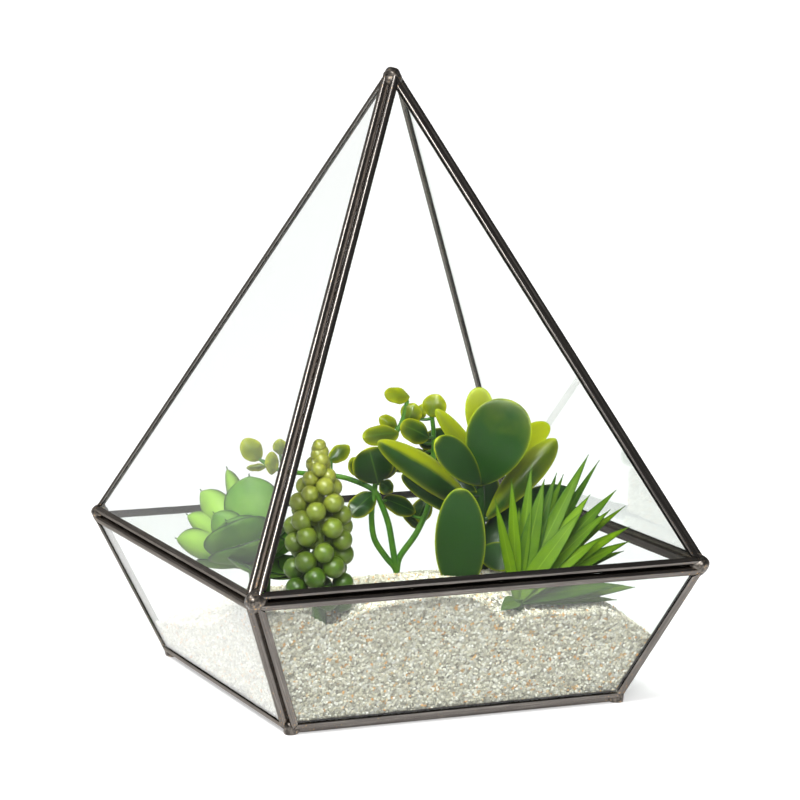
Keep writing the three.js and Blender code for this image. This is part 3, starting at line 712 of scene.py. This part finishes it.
def loose_grain_tree():
    """Scatters small faceted grains over the bed, each with a size, a turn and a tone of its own."""
    tree, add, given = new_tree("loose grains", Density=100000.0, Grain=0.0014, Seed=0)
    height = add("ShaderNodeSeparateXYZ", {"Vector": add("GeometryNodeInputPosition")}).outputs["Z"]
    visible = add("FunctionNodeCompare", {"A": height, "B": LOWEST_GRAIN}, operation="GREATER_THAN")
    points = add("GeometryNodeDistributePointsOnFaces", {
        "Mesh": given["Geometry"], "Selection": visible, "Density": given["Density"], "Seed": given["Seed"]})
    ball = add("GeometryNodeMeshUVSphere", {"Segments": 4, "Rings": 2, "Radius": 0.62})
    turn = add("FunctionNodeRandomValue", {"Max": (DRAWN_TURN,) * 3, "Seed": 1}, data_type="FLOAT_VECTOR")
    size = add("FunctionNodeRandomValue", {
        "Min": (0.55, 0.45, 0.4), "Max": (1.15, 0.95, 0.85), "Seed": 2}, data_type="FLOAT_VECTOR")
    scaled = add("ShaderNodeVectorMath", {"Vector": size, "Scale": given["Grain"]}, operation="SCALE")
    grains = add("GeometryNodeInstanceOnPoints", {
        "Points": points, "Instance": ball, "Rotation": turn, "Scale": scaled})
    tone = add("FunctionNodeRandomValue", {"Min": 0.0, "Max": 1.0, "Seed": 3}, data_type="FLOAT")
    toned = add("GeometryNodeStoreNamedAttribute", {
        "Geometry": grains, "Name": "grain_tone", "Value": tone}, data_type="FLOAT", domain="INSTANCE")
    close_tree(add, given, toned)
    return tree


class TERRARIUM_OT_sand(bpy.types.Operator):
    """Heap the sand and strew loose grains over it"""

    bl_idname = "terrarium.sand"
    bl_label = "Quartz sand"

    def execute(self, context):
        body, sand = context.scene.terrarium_glass, context.scene.terrarium_sand
        bed = sand_bed_mesh(body)
        area = sum(p.area for p in bed.polygons if p.center.z > LOWEST_GRAIN)
        material = quartz_sand(sand, loose=True)
        grains = run_tree(loose_grain_tree(), bed.copy(), {
            "Density": sand.loose_grains / area, "Grain": sand.grain, "Seed": sand.seed,
            "Material": material})
        if len(grains.polygons) < GRAIN_FACES * sand.loose_grains * GRAIN_SHARE:
            raise RuntimeError(f"too few loose grains: {len(grains.polygons)} faces")
        place_piece("sand_bed_skin", bed, quartz_sand(sand, loose=False), "sand", "sand_bed")
        place_piece("sand_loose_grains", grains, material, "sand", "sand_bed")
        return {"FINISHED"}


# ---------------------------------------------------------------- leaves and stems


def round_outline(u):
    return np.sqrt(4 * u * (1 - u))


def obovate_outline(u):
    """Pointed at the root, widest at 0.63 of its length and round at the end."""
    return 2.436 * u ** 0.85 * (1 - u) ** 0.5


def oval_outline(u):
    return round_outline(0.06 + 0.94 * u)


def cut_outline(u):
    """An oval whose foot is under the sand."""
    return round_outline(0.13 + 0.87 * u)


def shell_outline(u):
    """A broad shell, fullest near its end, that closes round and ends in a short fine spine."""
    body = round_outline(0.1 + 0.9 * np.minimum(u / 0.96, 1) ** 2)
    return np.maximum(body, 0.04 * np.clip((1 - u) / 0.04, 0, 1))


def lance_outline(u):
    """Half as wide at the root, full at 0.4 of its length, then narrowing to a point."""
    widening = 0.5 + 0.5 * np.sin(math.pi / 2 * u / 0.4)
    return np.where(u < 0.4, widening, 1 - (np.maximum(u - 0.4, 0) / 0.6) ** 1.6)


def add_leaf(shape, root, tip, up, width, thickness, outline, bow, cup, young, rim_width,
             rows=26, around=24, wave=0.0, split=0.0, crease=2, fade=0.0):
    """A fleshy leaf of oval section.

    bow lifts its middle and cup its rims, in a curve for a crease of 2 and in a fold for one of 1. The colour
    of its rim reaches rim_width in; a bright rim colour is a painted glow of light through the thin edge.
    split makes one half fresher and the other less so, as painted light on one side of a fold and painted
    shade on the other, and fade its end.
    """
    root, tip = np.array(root, float), np.array(tip, float)
    span = tip - root
    side = unit(np.cross(span, up))
    lift = unit(np.cross(side, span))
    u = ((1 - np.cos(np.linspace(0, math.pi, rows))) / 2)[:, None]
    phase = np.linspace(0, 2 * math.pi, around, endpoint=False)[None, :]
    across, over = np.cos(phase), np.sin(phase)
    # The tip ends a little early and no ring shrinks to a point, so that the ends close with small faces.
    full = outline(np.clip(u, 0, 0.9995))
    half = np.maximum(width / 2 * full, thickness * 0.14)
    tangent = span + lift * (4 * bow * (1 - 2 * u))[..., None]
    normal = unit(np.cross(side, tangent))
    # It thins where it is narrow.
    thick = thickness / 2 * np.minimum(1, (half / (thickness * 0.9)) ** 0.7)
    middle = root + span * u[..., None] + lift * (4 * bow * u * (1 - u))[..., None]
    raised = cup * abs(across) ** crease * full + wave * np.sin(u * 11 + root[0]) * across * full
    points = middle + side * (across * half)[..., None] + normal * (raised + over * thick)[..., None]
    to_edge = np.minimum(half * (1 - abs(across)), np.linalg.norm(span) * (1 - u) * 0.6)
    grid = points.shape[:2]
    places = np.stack([np.broadcast_to(u, grid), np.broadcast_to((across + 1) / 2, grid)], axis=-1)
    # split paints one half fresher and the other less fresh: painted light and shade on the two sides of a
    # fold.
    shape.rings(points, places, rim=np.exp(-to_edge / rim_width),
                young=young + split * np.tanh(across * 6) + fade * (u - 0.5))


def curve_through(points, steps=24):
    """A smooth line through points, evenly enough spaced for a stem."""
    points = np.array(points, float)
    padded = np.vstack([2 * points[0] - points[1], points, 2 * points[-1] - points[-2]])
    count = max(steps // (len(points) - 1), 3)
    line = []
    for i in range(1, len(padded) - 2):
        a, b, c, d = padded[i - 1:i + 3]
        t = np.linspace(0, 1, count, endpoint=i == len(padded) - 3)[:, None]
        bend = (2 * a - 5 * b + 4 * c - d) * t ** 2
        line.append(0.5 * (2 * b + (c - a) * t + bend + (3 * b - a - 3 * c + d) * t ** 3))
    return np.vstack(line)


STEM_SIDES = 12
# No stem reaches higher than this, in metres; one that does was swept without its radius.
STEM_LIMIT = 0.2


def stem_tree():
    """Sweeps a round section along polylines, as thick as each point's radius."""
    tree, add, given = new_tree("stems", Sides=STEM_SIDES)
    lines = add("GeometryNodeMeshToCurve", {"Mesh": given["Geometry"]})
    thick = add("GeometryNodeInputNamedAttribute", {"Name": "stem_radius"}, data_type="FLOAT")
    sized = add("GeometryNodeSetCurveRadius", {"Curve": lines, "Radius": thick})
    ring = add("GeometryNodeCurvePrimitiveCircle", {"Resolution": given["Sides"], "Radius": 1.0})
    close_tree(add, given, add("GeometryNodeCurveToMesh", {
        "Curve": sized, "Profile Curve": ring, "Scale": thick, "Fill Caps": True}))
    return tree


def stem_mesh(runs, material):
    """runs is a list of (points, radius at the start, radius at the end), in millimetres."""
    points, edges, radii = [], [], []
    for line, start, end in runs:
        first = len(points)
        points += (np.asarray(line) * MM).tolist()
        edges += [(first + i, first + i + 1) for i in range(len(line) - 1)]
        radii += (np.linspace(start, end, len(line)) * MM).tolist()
    mesh = bpy.data.meshes.new("stem lines")
    mesh.from_pydata(points, edges, [])
    add_values(mesh, "stem_radius", radii)
    tree = bpy.data.node_groups.get("stems") or stem_tree()
    made = run_tree(tree, mesh, {"Sides": STEM_SIDES, "Material": material})
    shade_smooth(made)
    if not len(made.polygons) or max(v.co.z for v in made.vertices) > STEM_LIMIT:
        raise RuntimeError("the stems were not swept")
    return made


def on_sand(x, y, above=0.0):
    return [x, y, float(sand_height(x, y)) + above]


TOWARDS_VIEWER = (-0.36, -0.8, 0.45)
AWAY_FROM_VIEWER = (0.42, 0.85, 0.15)

ROSETTE_HEART = (-65, -16, 60)
ROSETTE_FOOT = (-64, -15)
ROSETTE_FOCUS = (-88, 5, 93)
ROSETTE_LEAVES = [
    # tip, width: those that face the front, then those that face the middle of the rosette
    ((-80.5, 11, 85.5), 15), ((-86, 13, 75), 12), ((-91, 13, 65), 14), ((-65, -6, 94), 24),
    ((-68, 13, 94), 8), ((-81, -6, 79), 15), ((-84, -30, 79), 30), ((-81.5, -38, 71), 32),
    ((-80, -18, 78), 22), ((-76, -42, 61), 26), ((-48, -22, 72), 20), ((-52, -35, 57), 24),
    ((-50, 0, 88), 22), ((-44, 2, 72), 22), ((-58, 16, 76), 20), ((-72, 18, 62), 18), ((-88, -2, 58), 18),
    ((-58, 12, 58), 20),
]
FRONT_LEAVES = 10
# The leaves whose tips lie further back than this are the young ones.
ROSETTE_YOUNG_FROM = 5


class TERRARIUM_OT_rosette(bpy.types.Operator):
    """Set the rosette of broad spined leaves at the left"""

    bl_idname = "terrarium.rosette"
    bl_label = "Rosette"

    def execute(self, context):
        plants = context.scene.terrarium_plants
        material = faux_leaf("rosette_plastic_leaf", plants.rosette[:], "#93b848", "#0c2018", "#5c8f3a",
                             roughness=0.42, coat=0.05, veins=0.1, gloss=0.1)
        shape = Shape("leaf")
        for i, (tip, width) in enumerate(ROSETTE_LEAVES):
            inward = np.array(ROSETTE_FOCUS) - (np.array(ROSETTE_HEART) + tip) / 2
            add_leaf(shape, ROSETTE_HEART, tip, AWAY_FROM_VIEWER if i < FRONT_LEAVES else inward, width, 2.0,
                     shell_outline, bow=-3, cup=3, young=0.75 if tip[1] > ROSETTE_YOUNG_FROM else 0.25,
                     rim_width=1.0, rows=44, around=36)
        place_piece("rosette_leaves", shape.mesh(), material, "rosette_leaf", "plant_rosette")
        line = curve_through([ROSETTE_HEART, on_sand(*ROSETTE_FOOT, 8), on_sand(*ROSETTE_FOOT, -13)])
        stalk = stem_mesh([(line, 4.5, 3)], material)
        place_piece("rosette_stalk", stalk, material, "rosette_leaf", "plant_rosette")
        return {"FINISHED"}


SPIKE_PLACE = (-59, -67)
# The levels of the lowest and the highest berry, and how far the berries reach from the spike's middle.
SPIKE_LOW, SPIKE_HIGH = 51, 116
SPIKE_WIDE, SPIKE_NARROW = 14.6, 4.2
SPIKE_SEED = 17
BERRY_COUNT = 50
BERRY_RADIUS, BERRY_SHRINKS = 4.6, 1.8
CORE_LEVELS = (29, 44, 50, 70, 95, 116)
GOLDEN_ANGLE = math.pi * (3 - math.sqrt(5))


def berry_tree():
    """Puts a round berry on every point, as large as the point says."""
    tree, add, given = new_tree("berries", Roundness=3)
    ball = add("GeometryNodeMeshIcoSphere", {"Radius": 1.0, "Subdivisions": given["Roundness"]})
    size = add("GeometryNodeInputNamedAttribute", {"Name": "berry_radius"}, data_type="FLOAT")
    close_tree(add, given, add("GeometryNodeInstanceOnPoints", {
        "Points": given["Geometry"], "Instance": ball, "Scale": size}))
    return tree


class TERRARIUM_OT_berries(bpy.types.Operator):
    """Hang the berries round their spike"""

    bl_idname = "terrarium.berries"
    bl_label = "Berry spike"

    def execute(self, context):
        material = faux_berry(context.scene.terrarium_plants)
        centres, radii, stalks = [], [], []
        draw = np.random.default_rng(SPIKE_SEED)
        x, y = SPIKE_PLACE
        for i in range(BERRY_COUNT):
            along = ((i + 0.5) / BERRY_COUNT) ** 0.9
            berry = (BERRY_RADIUS - BERRY_SHRINKS * along ** 2.2) * draw.uniform(0.92, 1.04)
            girth = SPIKE_WIDE + (SPIKE_NARROW - SPIKE_WIDE) * smoothstep(along, 0.5, 1)
            reach = girth - berry - draw.uniform(0, 1)
            turn = i * GOLDEN_ANGLE + draw.uniform(-0.2, 0.2)
            level = SPIKE_LOW + (SPIKE_HIGH - SPIKE_LOW) * along + draw.uniform(-0.7, 0.7)
            centre = [x + reach * math.cos(turn), y + reach * math.sin(turn), level]
            centres.append([c * MM for c in centre])
            radii.append(berry * MM)
            stalks.append((curve_through([[x, y, level - 3], centre], 6), 1.2, 0.8))
        mesh = bpy.data.meshes.new("berry places")
        mesh.from_pydata(centres, [], [])
        add_values(mesh, "berry_radius", radii)
        berries = run_tree(berry_tree(), mesh, {"Roundness": 4, "Material": material})
        shade_smooth(berries)
        place_piece("berries", berries, material, "berry_skin", "plant_berry_spike")
        core = curve_through([[x, y, z] for z in CORE_LEVELS], 40)
        stalk = stem_mesh([(core, 3.6, 1.6), *stalks], material)
        place_piece("berry_stalks", stalk, material, "berry_skin", "plant_berry_spike")
        return {"FINISHED"}


def hang_leaves(stems, radius, stalk_radius, leaves, material):
    """Stems that share a foot, and a short stalk from the nearest of them to each leaf."""
    lines = [curve_through(points, 48) for points in stems]
    spots = np.vstack(lines)
    runs = [(line, radius * 1.15, radius * 0.75) for line in lines]
    for root, tip in leaves:
        anchor = spots[np.argmin(np.linalg.norm(spots - root, axis=1))]
        sunk = np.array(root) * 0.9 + np.array(tip) * 0.1
        sagging = curve_through([anchor, (anchor + sunk) / 2 + [0, 0, -0.3], sunk], 8)
        runs.append((sagging, stalk_radius, stalk_radius * 0.8))
    return stem_mesh(runs, material)


ROUND_FOOT = (-3, -15)
ROUND_FORK = on_sand(*ROUND_FOOT, 2)
ROUND_STEMS = [
    [on_sand(*ROUND_FOOT, -10), ROUND_FORK, (-7.6, -15, 56), (-13, -15, 64), (-14.5, -15, 72),
     (-14.3, -15, 79), (-12.7, -14, 86), (-11, -13, 96), (-4, -12, 106), (1, -11, 114), (3.5, -10, 122)],
    [ROUND_FORK, (-5.5, -16, 62), (-7.3, -16, 71), (-10, -15, 79), (-13, -14, 85), (-18, -7, 88),
     (-25, -2, 90), (-36, 10, 90), (-42, 19, 90), (-47, 26, 93)],
    [ROUND_FORK, (-1.5, -15, 56), (5, -16, 65), (9.4, -16, 73), (11.6, -16, 80), (13.7, -14, 90),
     (15, -12, 106), (14, -12, 116)],
]
ROUND_LEAVES = [
    # root, tip, width, how young
    ((4.5, -10, 123.5), (-7, -10, 125.5), 7.5, 0.9), ((13, -12, 115), (17.5, -12, 124), 10.5, 0.75),
    ((3, -12, 113), (6, -12, 121), 9.5, 0.5), ((11, -16, 106.5), (-2, -16, 113), 10.5, 0.25),
    ((-2, -14, 109), (-18.5, -14, 108), 9.5, 0.45), ((-1, -10, 111), (-8.5, -8, 115), 6.5, 0.6),
    ((-13, -18, 89), (-19, -22, 105), 18, 0.0), ((-10, -15, 90), (-7, -18, 103), 10, 0.0),
    ((-18, -12, 91), (-22.5, -12, 99.5), 7, 0.2), ((-13, -14, 84), (-25, -16, 75.5), 10, 0.0),
    ((-8, -12, 81), (6, -14, 74.5), 8.5, 0.0), ((2, -10, 75), (10.5, -8, 66), 4.5, 0.0),
    ((14, -8, 79), (9, -8, 69), 9, 0.15), ((11, -6, 102), (29.5, -4, 105.5), 10, 0.1),
    ((4, -8, 101), (-1, -8, 92), 9, 0.0), ((21, -6, 93), (33, -4, 87.5), 9, 0.3),
    ((0, -6, 98), (-6, -4, 105), 9, 0.0), ((9, -10, 113), (11, -9, 120), 5, 0.6),
    ((13, -10, 98), (2, -6, 96), 9, 0.0), ((14, -11, 96), (22, -8, 100), 9, 0.0),
    ((-27, 2, 96), (-18, 2, 102), 7.5, 0.35), ((-30, 1, 91), (-30, 2, 84), 7, 0.6),
    ((-47.5, 27, 93.5), (-54.5, 30, 102), 9.5, 0.85), ((-2, -8, 92), (4.5, -8, 98.5), 9, 0.0),
    ((-11, -16, 89), (-6, -17, 84.5), 7, 0.0), ((14, -5, 81), (8.5, -3, 89.5), 8, 0.3),
    ((12, -6, 99), (22, -4, 93), 9, 0.0), ((2, -5, 95), (11, -5, 92), 8, 0.0),
    ((-45, 20, 88), (-45, 20, 98), 6, 0.8), ((-42.7, 16, 97), (-42.7, 16, 104), 6.5, 0.6),
    ((-46, 24, 91), (-53.5, 28, 90), 3.5, 0.3),
]


class TERRARIUM_OT_round_leaved(bpy.types.Operator):
    """Branch the plant with small round leaves"""

    bl_idname = "terrarium.round_leaved"
    bl_label = "Round-leaved plant"

    def execute(self, context):
        plants = context.scene.terrarium_plants
        # The yellow rim colour and the glow paint the light that shines through the thin leaf edges.
        material = faux_leaf("round_plastic_leaf", plants.round_leaf[:], "#76820a", "#a8ac02", "#4f7420",
                             roughness=0.25, coat=0.1, veins=0.45, glow=0.45, gloss=0.3)
        green_stem = faux_leaf("plastic_stem", "#3c6a1c", "#7fa51c", "#3c6a1c", "#5f8a2a",
                               roughness=0.35, coat=0.1)
        shape = Shape("leaf")
        for root, tip, width, young in ROUND_LEAVES:
            add_leaf(shape, root, tip, TOWARDS_VIEWER, width, 0.9, round_outline, bow=1, cup=-1.3,
                     young=young - 0.3, rim_width=0.35 + 0.6 * young, wave=0.5, crease=1, fade=0.2)
        place_piece("round_leaves", shape.mesh(), material, "round_leaf", "plant_round_leaved")
        stalks = hang_leaves(ROUND_STEMS, 1.25, 0.75, [leaf[:2] for leaf in ROUND_LEAVES], green_stem)
        place_piece("round_leaf_stems", stalks, green_stem, "round_leaf", "plant_round_leaved")
        return {"FINISHED"}


FLESHY_FOOT = (28, -36)
FLESHY_STEMS = [
    [on_sand(*FLESHY_FOOT, -12), on_sand(*FLESHY_FOOT), (27, -36, 66), (26, -36, 88), (27, -33, 104)],
]
FLESHY_LEAVES = [
    # root, tip, width, bow, cup, how young, how much fresher one half is (painted light on that half, painted
    # shade on the other), outline
    ((26, -38, 89), (35.5, -46, 125.5), 27, 4, 2, 0.12, 0, obovate_outline),
    ((28, -31, 103), (28.5, -28, 129), 12, 1, 1, 0.8, 0, obovate_outline),
    ((25, -39, 89), (2, -44, 111), 14, 1, 1, 0.05, 0, obovate_outline),
    ((26, -35, 97), (8, -30, 121), 8, 2, -1, 0.65, 0.1, oval_outline),
    ((17, -40, 84), (-24, -44, 111.5), 13.5, 6, -4, 0.35, 0.5, oval_outline),
    ((16, -39, 79), (-9, -34, 95), 10, 2, -2, 0.0, 0.05, oval_outline),
    (on_sand(9.5, -53, -0.6), (7, -58, 92.5), 21, 2, 1, 0.0, 0, cut_outline),
    ((28, -36, 73), (59, -40, 107), 13, 3, -3, 0.4, -0.15, obovate_outline),
    ((30, -33, 92), (62, -26, 111), 11, 2, 1, 0.8, 0, obovate_outline),
    ((30, -32, 60), (75, -25, 81), 22, 6, -1, 0.0, 0, oval_outline),
    ((24, -37, 86), (15, -27, 89), 8, 1, 1, 0.0, 0, obovate_outline),
    ((23, -40, 61.5), (34, -54, 58.5), 13, 1, 1, 0.0, 0, obovate_outline),
    ((28, -32, 70), (36, -8, 88), 20, 3, 1, 0.1, 0, obovate_outline),
]


class TERRARIUM_OT_fleshy_leaved(bpy.types.Operator):
    """Grow the plant with the large fleshy leaves"""

    bl_idname = "terrarium.fleshy_leaved"
    bl_label = "Fleshy-leaved plant"

    def execute(self, context):
        plants = context.scene.terrarium_plants
        # The yellow-green rim colour and the glow paint the light that shines through the thin leaf edges.
        material = faux_leaf("fleshy_plastic_leaf", plants.fleshy_leaf[:], "#8f960a", "#a2b018", "#2c5216",
                             roughness=0.27, coat=0.03, veins=0.12, glow=0.1, gloss=0.17, clouds=0.3)
        shape = Shape("leaf")
        for root, tip, width, bow, cup, young, split, outline in FLESHY_LEAVES:
            add_leaf(shape, root, tip, TOWARDS_VIEWER, width, 2.2, outline, bow=bow, cup=cup,
                     young=young - 0.1, split=split, rim_width=0.28 + 0.5 * young, rows=36, around=36,
                     fade=0.3)
        place_piece("fleshy_leaves", shape.mesh(), material, "fleshy_leaf", "plant_fleshy_leaved")
        stalks = hang_leaves(FLESHY_STEMS, 2.0, 1.2, [leaf[:2] for leaf in FLESHY_LEAVES], material)
        place_piece("fleshy_leaf_stems", stalks, material, "fleshy_leaf", "plant_fleshy_leaved")
        return {"FINISHED"}


ALOE_FOOT = (23, -80)
ALOE_SEED = 5
BLADES_FACE = (-0.35, -0.8, 0.6)
ALOE_BLADES = [
    # tip, width, bow
    ((12.5, -80, 91.5), 5, 1), ((23, -73, 98), 5.5, 1), ((34.5, -68, 102), 6, 2), ((38.5, -72, 96.5), 8.5, 2),
    ((46, -68, 98), 6.5, 3), ((52, -62, 96), 6, 3), ((60, -69, 105), 7, 5), ((67, -65, 101.5), 5, 6),
    ((65.5, -58, 93.5), 6, 5), ((57.5, -76, 89.5), 8, 4), ((51, -82, 84), 8.5, 4), ((71, -73, 90), 7.5, 5),
    ((66, -78, 83), 7, 5), ((78, -68, 82), 5, 7), ((76.5, -75, 74.5), 7, 7), ((59.5, -82.5, 72), 8, 4),
    ((75, -78, 69), 7.5, 6), ((77, -69, 63), 6, 7), ((79, -76, 49.5), 8.5, 3), ((70, -83, 52.5), 7, 4),
    ((68, -81, 46), 5.5, 2), ((12.5, -87, 47.2), 7, 1), ((30, -66, 84), 7, 2), ((42, -62, 84), 7, 3),
    ((54, -60, 76), 7, 4), ((62, -62, 66), 7, 5), ((44, -64, 66), 7, 4), ((32, -62, 66), 7, 3),
]


class TERRARIUM_OT_tuft(bpy.types.Operator):
    """Spread the tuft of narrow channelled blades"""

    bl_idname = "terrarium.tuft"
    bl_label = "Bladed tuft"

    def execute(self, context):
        plants = context.scene.terrarium_plants
        material = faux_leaf("bladed_plastic_leaf", plants.aloe[:], "#5c7a06", "#254806", "#84a024",
                             roughness=0.45, coat=0.02, veins=0.35, gloss=0.06)
        shape = Shape("leaf")
        draw = np.random.default_rng(ALOE_SEED)
        heart = on_sand(*ALOE_FOOT, 2.6)
        for tip, width, bow in ALOE_BLADES:
            add_leaf(shape, heart, tip, BLADES_FACE, width, 1.3, lance_outline, bow=bow / 2, cup=1.2,
                     young=draw.uniform(0.1, 0.9), rim_width=0.3, rows=30, around=18)
        place_piece("tuft_blades", shape.mesh(), material, "aloe_leaf", "plant_aloe_tuft")
        crown = curve_through([on_sand(*ALOE_FOOT, -12), on_sand(*ALOE_FOOT), on_sand(*ALOE_FOOT, 3.5)])
        foot = stem_mesh([(crown, 3.0, 2.6)], material)
        place_piece("tuft_foot", foot, material, "aloe_leaf", "plant_aloe_tuft")
        return {"FINISHED"}


# ---------------------------------------------------------------- stage


CAMERA_PLACE = (-529.65, -1252.85, 332.44)
CAMERA_TARGET = (3.98, -1.70, 121.22)
CAMERA_ROLL = 0.432
CAMERA_LENS = 145.68
SENSOR_WIDTH = 36.0
# The floor reaches this far each way from the middle, in metres.
FLOOR_REACH = 30
# The front light's place and side, and the middle of the terrarium that it looks at, in metres.
FRONT_LIGHT_PLACE = (-0.45, -1.25, 0.95)
FRONT_LIGHT_SIDE = 0.35
FRONT_LIGHT_TARGET = (0, 0, 0.09)
# The overhead light's tilt and the width of the sky that it covers, in degrees.
OVERHEAD_TILT = (21, -32, 0)
OVERHEAD_SPREAD = 22
# The side where the white cards stand: behind the terrarium and at its left.
CARDS_SIDE = (-0.5, 0.8, -0.1)


def facing(right, up, back, place):
    """The matrix of a camera or light that looks away from back."""
    return Matrix([*np.column_stack([right, up, back, place]).tolist(), [0, 0, 0, 1]])


def add_camera(context):
    place, target = np.array(CAMERA_PLACE), np.array(CAMERA_TARGET)
    ahead = unit(target - place)
    right = unit(np.cross(ahead, (0, 0, 1)))
    up = np.cross(right, ahead)
    roll = math.radians(CAMERA_ROLL)
    across = right * math.cos(roll) + up * math.sin(roll)
    upright = up * math.cos(roll) - right * math.sin(roll)
    data = bpy.data.cameras.new("camera")
    data.lens, data.sensor_width, data.sensor_fit = CAMERA_LENS, SENSOR_WIDTH, "HORIZONTAL"
    data.clip_start, data.clip_end = 0.05, 100
    camera = bpy.data.objects.new("camera", data)
    camera.matrix_world = facing(across, upright, -ahead, place * MM)
    context.collection.objects.link(camera)
    context.scene.camera = camera


def add_lights(context, stage):
    """A square soft light at the front, and a large one above."""
    front = bpy.data.lights.new("front", "AREA")
    front.energy, front.shape, front.size = stage.key, "SQUARE", FRONT_LIGHT_SIDE
    light = bpy.data.objects.new("front", front)
    place = np.array(FRONT_LIGHT_PLACE)
    back = unit(place - FRONT_LIGHT_TARGET)
    right = unit(np.cross((0, 0, 1), back))
    light.matrix_world = facing(right, np.cross(back, right), back, place)
    context.collection.objects.link(light)
    overhead = bpy.data.lights.new("overhead", "SUN")
    overhead.energy, overhead.angle = stage.overhead, math.radians(OVERHEAD_SPREAD)
    sky_light = bpy.data.objects.new("overhead", overhead)
    sky_light.rotation_euler = [math.radians(angle) for angle in OVERHEAD_TILT]
    context.collection.objects.link(sky_light)


def white_surround(stage):
    """White cards behind the terrarium and at its left; the room in front of it is dim."""
    world = bpy.data.worlds.new("white surround")
    world.use_nodes = True
    world.node_tree.nodes.clear()
    add = partial(add_node, world.node_tree)
    way = add("ShaderNodeTexCoord").outputs["Generated"]
    towards = add("ShaderNodeVectorMath", {0: way, 1: CARDS_SIDE}, operation="DOT_PRODUCT")
    card = add("ShaderNodeMapRange", {
        "Value": towards, "From Min": -0.3, "From Max": 0.6, "To Min": stage.room, "To Max": stage.sky},
        interpolation_type="SMOOTHSTEP")
    glow = add("ShaderNodeBackground", {"Color": (1, 1, 1, 1), "Strength": card})
    add("ShaderNodeOutputWorld", {"Surface": glow})
    return world


class TERRARIUM_OT_stage(bpy.types.Operator):
    """Set the camera, the pale floor, the soft lights and the white surround"""

    bl_idname = "terrarium.stage"
    bl_label = "Stage"

    def execute(self, context):
        stage = context.scene.terrarium_stage
        add_camera(context)
        mesh = bpy.data.meshes.new("floor")
        ends = ((-1, -1), (1, -1), (1, 1), (-1, 1))
        mesh.from_pydata([(x * FLOOR_REACH, y * FLOOR_REACH, 0) for x, y in ends], [], [(0, 1, 2, 3)])
        mesh.materials.append(pale_floor(stage))
        floor = bpy.data.objects.new("floor", mesh)
        context.collection.objects.link(floor)
        add_lights(context, stage)
        context.scene.world = white_surround(stage)
        context.scene.view_settings.view_transform = "Standard"
        return {"FINISHED"}


# ---------------------------------------------------------------- panel and registration


OPERATORS = (
    TERRARIUM_OT_came, TERRARIUM_OT_solder, TERRARIUM_OT_glass, TERRARIUM_OT_sand, TERRARIUM_OT_rosette,
    TERRARIUM_OT_berries, TERRARIUM_OT_round_leaved, TERRARIUM_OT_fleshy_leaved, TERRARIUM_OT_tuft,
    TERRARIUM_OT_stage,
)
SETTINGS = {
    "terrarium_glass": GlassBodySettings,
    "terrarium_sand": SandSettings,
    "terrarium_plants": PlantSettings,
    "terrarium_stage": StageSettings,
}


class TERRARIUM_PT_panel(bpy.types.Panel):
    """Lists the pieces and the stage"""

    bl_label = "Terrarium"
    bl_idname = "TERRARIUM_PT_panel"
    bl_space_type = "VIEW_3D"
    bl_region_type = "UI"
    bl_category = "Terrarium"

    def draw(self, context):
        for name in SETTINGS:
            group = getattr(context.scene, name)
            for key in group.bl_rna.properties.keys():
                if key not in ("rna_type", "name"):
                    self.layout.prop(group, key)
        for operator in OPERATORS:
            self.layout.operator(operator.bl_idname)


def register():
    for item in (*SETTINGS.values(), *OPERATORS, TERRARIUM_PT_panel):
        bpy.utils.register_class(item)
    for name, group in SETTINGS.items():
        setattr(bpy.types.Scene, name, PointerProperty(type=group))


def unregister():
    for name in SETTINGS:
        delattr(bpy.types.Scene, name)
    for item in (TERRARIUM_PT_panel, *reversed(OPERATORS), *reversed(SETTINGS.values())):
        bpy.utils.unregister_class(item)


def main():
    register()
    for operator in OPERATORS:
        group, name = operator.bl_idname.split(".")
        getattr(getattr(bpy.ops, group), name)()
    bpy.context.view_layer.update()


if __name__ == "__main__":
    main()
